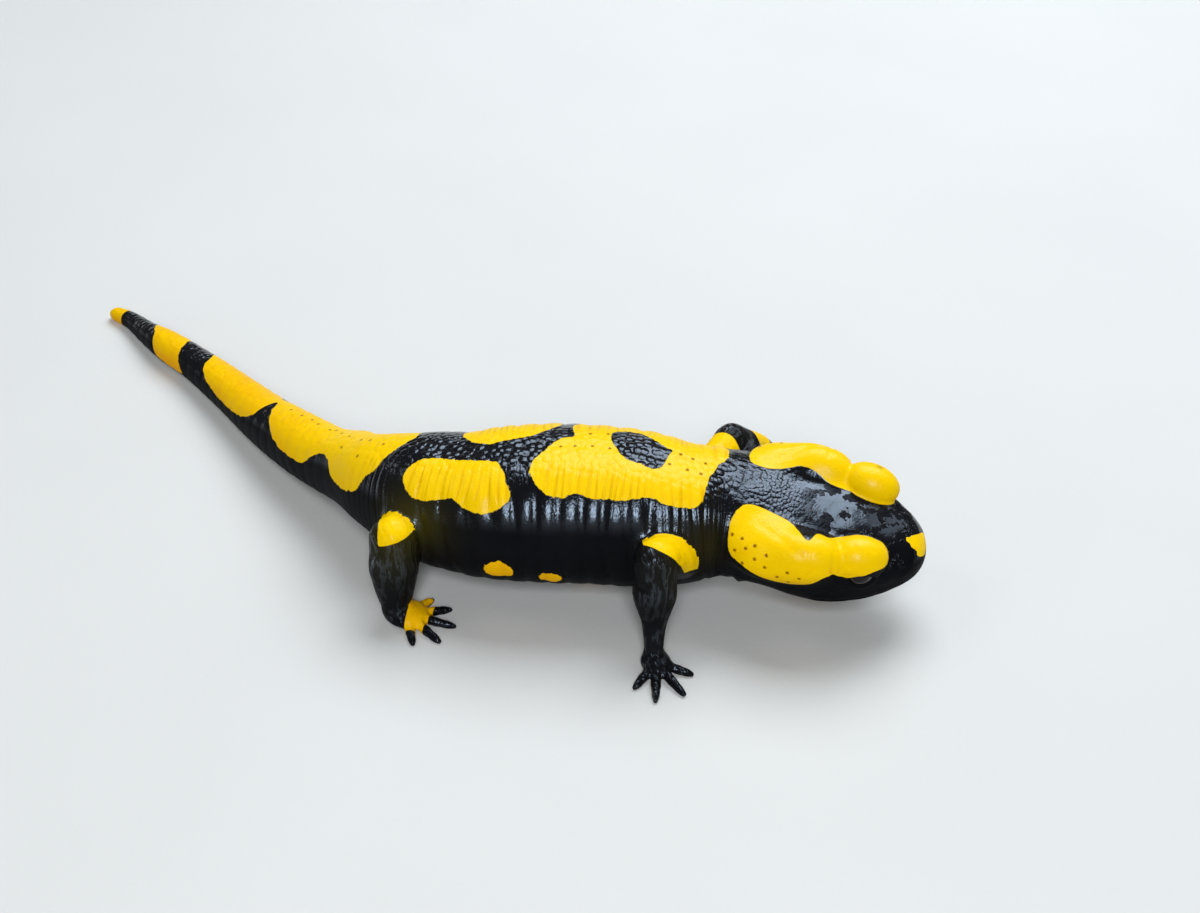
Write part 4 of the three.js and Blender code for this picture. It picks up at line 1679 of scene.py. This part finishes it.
    def dress(self, piece: bpy.types.Object, spots: np.ndarray) -> None:
        """Gives the piece its skin.

        Args:
            piece: the skin mesh, with its attributes.
            spots: places of the dark pores, in millimetres.
        """
        recipe = Recipe("wet_skin")
        plan = SkinPlan(recipe)
        fine = recipe.grain(plan.here, self.fine)
        cloud = recipe.grain(plan.here, self.cloud)
        streak = recipe.grain(plan.flow, self.streak)
        yellow = self.markings(recipe, plan, fine)
        pore = self.pores(recipe, plan, spots, fine) * yellow
        bare, furrow = self.relief(recipe, plan, yellow, streak)
        pool = recipe.grain(plan.here, self.pool).ease(*self.pool_span)
        crown = plan.face * plan.along.ease(*self.crown_end) * (1 - yellow)
        rough = (bare + fine.about_zero(self.fine_height)) * (1 - pool * crown * self.pool_calm)
        height = (rough + yellow * self.yellow_height - pore * self.pore_depth) * plan.calm
        shared = {
            "Base Color": self.tint(recipe, plan, yellow, pore, furrow),
            "Normal": recipe.relief(height),
            "Specular Tint": self.sheen,
        }
        film_rough = self.film_rough + cloud * self.cloud_rough + yellow * self.yellow_rough
        film_rough = film_rough + plan.limb * self.limb_rough - plan.face * self.face_smooth
        film = {"Roughness": film_rough, "IOR": self.film_ior}
        dry = {"Roughness": self.dry_rough, "IOR": self.dry_ior, "Specular IOR Level": self.dry_specular}
        shine = plan.wet * yellow.between(1.0, self.matt_yellow) * (1 - (1 - pool) * crown * self.dry_share)
        shine = shine * (1 - plan.limb * (1 - streak.ease(*self.streak_span)) * self.matt_limb)
        matt, glossy = (recipe.surface({**shared, **finish}) for finish in (dry, film))
        recipe.cover(piece, recipe.blend(shine, matt, glossy))


@dataclass(frozen=True)
class EyeGloss:
    """A dark wet eye with a faint bronze ring round its pupil."""

    dark: Colour = colour(6, 5, 5)
    iris: Colour = colour(52, 36, 16)
    fleck: Grain = Grain.even(5.0)
    fleck_span: Span = (0.3, 0.7)
    iris_inner: Span = (0.42, 0.5)
    iris_outer: Span = (0.9, 0.7)
    rough: float = 0.06
    rough_flecks: float = 0.04
    ior: float = 1.38
    specular: float = 0.35

    def dress(self, piece: bpy.types.Object) -> None:
        """Gives an eye its finish."""
        recipe = Recipe("wet_eye")
        ring = recipe.attribute("ring")
        fleck = recipe.grain(recipe.place(), self.fleck)
        band = ring.ease(*self.iris_inner) * ring.ease(*self.iris_outer)
        gloss = {
            "Base Color": recipe.mixed(band * fleck.ease(*self.fleck_span), self.dark, self.iris),
            "Roughness": self.rough + fleck * self.rough_flecks,
            "IOR": self.ior,
            "Specular IOR Level": self.specular,
        }
        recipe.cover(piece, recipe.surface(gloss))


@dataclass(frozen=True)
class PaleFloor:
    """A plain pale studio floor."""

    light: Colour = colour(208, 207, 204)
    shade: Colour = colour(201, 200, 197)
    cloud: Grain = Grain.even(0.02)
    tooth: Grain = Grain.even(1.2)
    tooth_height: float = 0.03
    rough: float = 0.75
    rough_tooth: float = 0.1

    def dress(self, piece: bpy.types.Object) -> None:
        """Gives the floor its finish."""
        recipe = Recipe("pale_floor")
        here = recipe.place()
        tooth = recipe.grain(here, self.tooth)
        plain = {
            "Base Color": recipe.mixed(recipe.grain(here, self.cloud), self.light, self.shade),
            "Roughness": self.rough + tooth * self.rough_tooth,
            "Normal": recipe.relief(tooth * self.tooth_height),
        }
        recipe.cover(piece, recipe.surface(plain))


# ---------------------------------------------------------------- the animal


@dataclass(frozen=True)
class Zones:
    """Where the skin changes its colour and finish.

    Spans are millimetres from the snout, degrees from the back, heights over the floor, or how
    steeply the skin faces up, from 1 for level skin to 0 for upright skin.
    """

    face_end: Span = (22.0, 28.0)
    # painted shade: the yellow turns orange down the sides of the body, and near the floor on a limb
    side_shade: Span = (0.55, -0.2)
    side_shade_share: float = 0.75
    warm_tail: Span = (74.0, 108.0)
    warm_tail_share: float = 0.45
    floor_shade: Span = (7.0, 2.0)
    floor_shade_share: float = 0.6
    olive_groin: Ridge = Ridge(66.0, 3.5, 1.0)
    olive_groin_side: Ridge = Ridge(70.0, 22.0, 1.0)
    olive_neck: Ridge = Ridge(30.0, 4.5, 0.45)
    olive_neck_side: Ridge = Ridge(72.0, 20.0, 1.0)
    smudge_place: Point = (-8.2, 7.3, 6.9)
    smudge: Ridge = Ridge(0.0, 0.45, 0.5)
    wet_body: Span = (0.32, 0.6)
    tail_start: Span = (76.0, 92.0)
    tail_shift: float = 0.12
    neck_dry: Ridge = Ridge(29.5, 5.0, 0.85)
    neck_top: Span = (42.0, 60.0)
    wet_limb: Span = (0.05, 0.4)
    limb_least: float = 0.3
    crease_least: float = 0.15
    crease_width: float = 1.0
    sole_calm: float = 0.6
    sole_flat: float = 0.5

    def body_warmth(self, back: np.ndarray, along: np.ndarray) -> np.ndarray:
        """How orange the yellow of the body is: painted shade down its sides, and its own deeper tone on the
        tail.
        """
        side = self.side_shade_share * ease(*self.side_shade, back)
        return side + self.warm_tail_share * ease(*self.warm_tail, along)

    def foot_warmth(self, above: np.ndarray) -> np.ndarray:
        """How orange the yellow of a limb is: painted shade, deeper near the floor."""
        return ease(*self.floor_shade, above) * self.floor_shade_share

    def olive(self, along: np.ndarray, turn: np.ndarray) -> np.ndarray:
        """How olive the black is: in the groin and behind the head."""
        groin = self.olive_groin.over(along) * self.olive_groin_side.over(turn)
        return groin + self.olive_neck.over(along) * self.olive_neck_side.over(turn)

    def wet(self, rise: np.ndarray, place: Straight, on_body: np.ndarray) -> np.ndarray:
        """How wet the skin is.

        Args:
            rise: how steeply the skin faces up.
            place: the points, told from the body's line.
            on_body: whether they are on the body and not on a limb.

        Returns:
            Shares from 0 to 1.
        """
        body = ease(*self.wet_body, rise - self.tail_shift * ease(*self.tail_start, place.along))
        body *= 1 - self.neck_dry.over(place.along) * ease(*self.neck_top, np.abs(place.turn))
        limb = self.limb_least + (1 - self.limb_least) * ease(*self.wet_limb, rise)
        return np.where(on_body, body, limb)

    def calm(self, crease: np.ndarray, above: np.ndarray) -> np.ndarray:
        """How much of its relief the skin keeps beside the crease of a limb and near the floor."""
        open_skin = ease(0.0, self.crease_width, crease)
        return (self.crease_least + (1 - self.crease_least) * open_skin) * ease(0.0, self.sole_calm, above)


@dataclass
class Salamander:
    """The animal: its skin and its eyes.

    grain is the width of a face, before those of the head and paws are split. limb_start and
    limb_step keep the limbs' patterns apart from the body's.
    """

    spine: Spine = field(default_factory=Spine)
    head: Head = field(default_factory=Head)
    folds: Folds = field(default_factory=Folds)
    finish: WetSkin = field(default_factory=WetSkin)
    gloss: EyeGloss = field(default_factory=EyeGloss)
    zones: Zones = field(default_factory=Zones)
    grain: float = 0.46
    rounds: int = 3
    coarse_share: float = 0.5
    fine_share: float = 0.4
    longest_pull: float = 0.8
    head_length: float = 24.5
    head_half: float = 13.0
    paw_reach: float = 9.5
    paw_top: float = 2.6
    limb_blend: Span = (-0.8, 0.8)
    limb_start: float = 200.0
    limb_step: float = 40.0
    pore_rounds: int = 6
    pore_pull: float = 0.9
    eye_names: tuple[str, str] = ("eye_left", "eye_right")
    gaze: Point = (0.25, 1.0, 0.35)
    cornea: Span = (0.72, 1.0)
    cornea_height: float = 0.1
    iris_angle: float = 52.0

    def field(self, points: np.ndarray) -> np.ndarray:
        """Signed distances to the whole smooth animal."""
        bare = self.spine.distance(self.spine.straighten(points))
        whole = self.head.distance(self.spine.in_head(points), bare)
        for leg in Leg:
            whole = fused(whole, leg.value.distance(points), leg.value.soft)
        return whole

    def settle(self, piece: bpy.types.Object, share: float) -> None:
        """Draws the skin onto the smooth animal, in rounds.

        Args:
            piece: the skin.
            share: how much the faces are evened out between rounds.
        """
        points = read_points(piece)
        for number in range(self.rounds):
            if number:
                points = relaxed(piece, points, share)
                write_points(piece, points)
            pull = np.clip(self.field(points), -self.longest_pull, self.longest_pull)
            points = points - read_normals(piece) * pull[:, None]
            write_points(piece, points)

    def refine(self, piece: bpy.types.Object) -> None:
        """Splits the faces of the head, hands and feet, where the shape is finest."""
        centres = read_rows(piece.data.polygons, "center")
        in_head = self.spine.in_head(centres)
        fine = (in_head[:, 0] > -self.head_length) & (np.abs(in_head[:, 1]) < self.head_half)
        for leg in Leg:
            gap = np.linalg.norm(centres - leg.value.end, axis=1)
            fine |= (gap < self.paw_reach) & (centres[:, 2] < self.paw_top)
        bpy.context.tool_settings.mesh_select_mode = (False, False, True)
        bpy.ops.object.mode_set(mode="EDIT")
        bpy.ops.mesh.select_all(action="DESELECT")
        bpy.ops.object.mode_set(mode="OBJECT")
        piece.data.polygons.foreach_set("select", fine)
        bpy.ops.object.mode_set(mode="EDIT")
        bpy.ops.mesh.subdivide(number_cuts=1, ngon=False)
        bpy.ops.object.mode_set(mode="OBJECT")

    def yellow_edge(self, place: Straight, in_head: np.ndarray) -> np.ndarray:
        """Signed distances to the edge of the body's yellow, negative inside it."""
        edges = [marking.distance(place.along, place.turn) for marking in (*PATCHES, *SPOTS)]
        edges.append(SNOUT_SPOT.distance(*self.head.about_snout(in_head)))
        edges.append(self.head.lid_cover(in_head))
        return np.minimum(np.min(edges, axis=0), FAR)

    @staticmethod
    def limb_edge(leg: Leg, points: np.ndarray) -> np.ndarray:
        """Signed distances to the edge of a limb's yellow, negative inside it."""
        edges = [cap.distance(points) for cap in CAPS if cap.leg is leg]
        return np.minimum(np.min(edges, axis=0), FAR)

    def mark(self, piece: bpy.types.Object, points: np.ndarray, place: Straight) -> np.ndarray:
        """Gives every vertex what the material reads, and returns the fine relief.

        Args:
            piece: the skin.
            points: its vertices.
            place: the vertices, told from the body's line.

        Returns:
            The height of the fine shape at each vertex.
        """
        in_head, above = self.spine.in_head(points), points[:, 2]
        body = self.head.distance(in_head, self.spine.distance(place))
        edge = self.yellow_edge(place, in_head)
        height = self.folds.body(place, points) + self.head.relief(in_head)
        flow = np.stack([place.along, place.side, place.up], axis=1)
        back = np.cos(np.radians(place.turn))
        face = 1 - ease(*self.zones.face_end, place.along)
        trunk = 1.0 - face
        # painted shade down the sides and near the floor, with the tail's own orange, carried to the
        # material
        warmth = self.zones.body_warmth(back, place.along)
        crease = np.full(len(points), FAR)
        for number, leg in enumerate(Leg):
            gap = leg.value.distance(points)
            mine = gap < body
            told = leg.value.told(points)
            folds = self.folds.limb(leg.value, told, points)
            height = height + (folds - height) * ease(*self.limb_blend, body - gap)
            flow[mine] = told[mine] + (self.limb_start + self.limb_step * number, 0, 0)
            back[mine] = face[mine] = trunk[mine] = 0.0
            warmth[mine] = self.zones.foot_warmth(above[mine])
            crease = np.minimum(crease, np.abs(gap - body))
            edge = np.where(mine, self.limb_edge(leg, points), edge)
        wet = self.zones.wet(read_normals(piece)[:, 2], place, trunk + face > 0)
        calm = self.zones.calm(crease, above)
        olive = self.zones.olive(place.along, np.abs(place.turn))
        smudge = self.zones.smudge.over(np.linalg.norm(in_head - self.zones.smudge_place, axis=1))
        self.carry(piece, "flow", flow)
        self.carry(piece, "zone", np.stack([back, face, trunk], axis=1))
        self.carry(piece, "state", np.stack([edge, wet, calm], axis=1))
        self.carry(piece, "hue", np.stack([olive, warmth, smudge], axis=1))
        return height * ease(0.0, self.zones.sole_flat, above)

    @staticmethod
    def carry(piece: bpy.types.Object, name: str, values: np.ndarray) -> None:
        """Stores a number or a vector at each vertex."""
        kind, key = ("FLOAT", "value") if values.ndim == 1 else ("FLOAT_VECTOR", "vector")
        stored = piece.data.attributes.new(name, kind, "POINT")
        stored.data.foreach_set(key, values.astype(np.float32).ravel())

    def build_skin(self, flesh: Sequence[str]) -> bpy.types.Object:
        """Makes the skin.

        Args:
            flesh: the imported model's solids that it stands for.

        Returns:
            The finished piece.
        """
        clay = Clay()
        clay.add_body(self.spine)
        self.head.shape(clay, self.spine)
        for leg in Leg:
            leg.value.shape(clay)
        skin = clay.made_one("skin", self.grain)
        self.settle(skin, self.coarse_share)
        self.refine(skin)
        self.settle(skin, self.fine_share)
        points = read_points(skin)
        place = self.spine.straighten(points)
        height = self.mark(skin, points, place)
        points = points + read_normals(skin) * height[:, None]
        points[:, 2] = np.maximum(points[:, 2], 0.0)
        write_points(skin, points * MM)
        skin.data.shade_smooth()
        pores = np.array([self.pore_place(along, turn) for along, turn in PORES])
        self.finish.dress(skin, pores)
        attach(skin, "root")
        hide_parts(*flesh)
        return skin

    def pore_place(self, along: float, turn: float) -> np.ndarray:
        """The place of a pore on the bulged head or the body."""
        start = self.spine.surface(along, turn)
        centre = self.spine.at(self.spine.line, np.array([along]))[0]
        out = (start - centre) / np.linalg.norm(start - centre)
        spot = start[None]
        for _ in range(self.pore_rounds):
            spot = spot - out * self.field(spot)[:, None] * self.pore_pull
        return spot[0]

    def build_eye(self, side: int) -> bpy.types.Object:
        """Makes an eye.

        Args:
            side: 1 for the left, -1 for the right.

        Returns:
            The finished piece.
        """
        name = self.eye_names[0] if side == 1 else self.eye_names[1]
        bpy.ops.object.select_all(action="DESELECT")
        bpy.ops.mesh.primitive_uv_sphere_add(segments=48, ring_count=32, radius=self.head.eye_radius)
        eye = bpy.context.object
        eye.name = eye.data.name = name + "_ball"
        ball = read_points(eye)
        outward = ball[:, 2] / self.head.eye_radius
        cornea = ease(*self.cornea, outward) * self.cornea_height
        ring = np.degrees(np.arccos(np.clip(outward, -1, 1))) / self.iris_angle
        ball *= 1 + cornea[:, None] / self.head.eye_radius
        ahead, out, up = self.gaze
        tilt = Vector((ahead, side * out, up)).to_track_quat("Z", "Y").to_matrix()
        ball = ball @ np.array(tilt).T + self.head.eye_centre(side)
        write_points(eye, (ball @ self.spine.head_axes + self.spine.origin) * MM)
        self.carry(eye, "ring", ring)
        eye.data.shade_smooth()
        self.gloss.dress(eye)
        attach(eye, "root")
        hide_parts(name)
        return eye


# ---------------------------------------------------------------- studio


@dataclass(frozen=True)
class Softbox:
    """A large soft light that faces the animal."""

    name: str
    azimuth: float
    elevation: float
    reach: float
    size: Span
    power: float
    tone: Point

    def build(self, aim: Vector) -> None:
        """Hangs the light.

        Args:
            aim: the point it faces, in metres.
        """
        turn, rise = math.radians(self.azimuth), math.radians(self.elevation)
        away = Vector((math.cos(rise) * math.cos(turn), math.cos(rise) * math.sin(turn), math.sin(rise)))
        data = bpy.data.lights.new(self.name, "AREA")
        data.shape = "RECTANGLE"
        data.size, data.size_y = self.size
        data.energy = self.power
        data.color = self.tone
        lamp = bpy.data.objects.new(self.name, data)
        lamp.location = aim + away * self.reach
        lamp.rotation_euler = away.to_track_quat("Z", "Y").to_euler()
        bpy.context.scene.collection.objects.link(lamp)


@dataclass
class Studio:
    """The floor, the lights, the surroundings and the camera."""

    eye: Point = (19.7, -197.2, 158.99)
    dip: float = 38.0
    lens: float = 51.0
    sensor: float = 36.0
    clip: Span = (0.005, 50.0)
    aim: Point = (19.7, -12.0, 8.0)
    floor_size: float = 6.0
    floor_finish: PaleFloor = field(default_factory=PaleFloor)
    surround: Colour = (0.74, 0.72, 0.68, 1.0)
    surround_strength: float = 0.12
    boxes: tuple[Softbox, ...] = (
        Softbox("far_softbox", 73.0, 56.0, 0.6, (0.42, 0.4), 4.1, (0.86, 0.93, 1.0)),
        Softbox("near_softbox", -90.0, 43.0, 0.6, (0.16, 0.24), 2.3, (0.90, 0.95, 1.0)),
        Softbox("front_card", -90.0, 15.5, 0.9, (1.0, 0.48), 1.0, (1.0, 1.0, 0.98)),
        Softbox("left_softbox", 170.0, 50.0, 0.7, (0.2, 0.2), 0.35, (1.0, 0.98, 0.94)),
        Softbox("right_softbox", 40.0, 42.0, 0.6, (0.3, 0.26), 0.4, (0.86, 0.93, 1.0)),
    )

    def build(self) -> None:
        """Sets everything up."""
        scene = bpy.context.scene
        scene.view_settings.view_transform = "Standard"
        world = bpy.data.worlds.new("studio")
        world.use_nodes = True
        background = world.node_tree.nodes["Background"]
        background.inputs["Color"].default_value = self.surround
        background.inputs["Strength"].default_value = self.surround_strength
        scene.world = world
        for softbox in self.boxes:
            softbox.build(Vector(self.aim) * MM)
        data = bpy.data.cameras.new("camera")
        data.lens, data.sensor_width = self.lens, self.sensor
        data.clip_start, data.clip_end = self.clip
        camera = bpy.data.objects.new("camera", data)
        camera.location = Vector(self.eye) * MM
        camera.rotation_euler = (math.radians(90 - self.dip), 0, 0)
        scene.collection.objects.link(camera)
        scene.camera = camera

    def build_floor(self) -> bpy.types.Object:
        """Lays the floor, a wide flat sheet."""
        bpy.ops.object.select_all(action="DESELECT")
        bpy.ops.mesh.primitive_grid_add(x_subdivisions=8, y_subdivisions=8, size=self.floor_size)
        floor = bpy.context.object
        floor.name = floor.data.name = "floor"
        self.floor_finish.dress(floor)
        return floor


def report(piece: bpy.types.Object) -> None:
    """Says how many triangles a piece has."""
    piece.data.calc_loop_triangles()
    LOG.info("%s: %d triangles", piece.name, len(piece.data.loop_triangles))


def main() -> None:
    """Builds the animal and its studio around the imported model."""
    logging.basicConfig(level=logging.INFO, format="%(name)s %(message)s")
    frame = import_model()
    studio = Studio()
    studio.build()
    animal = Salamander()
    flesh = sorted(name for name in frame["nodes"] if name not in animal.eye_names)
    report(animal.build_skin(flesh))
    for side in (1, -1):
        report(animal.build_eye(side))
    report(studio.build_floor())


if __name__ == "__main__":
    main()
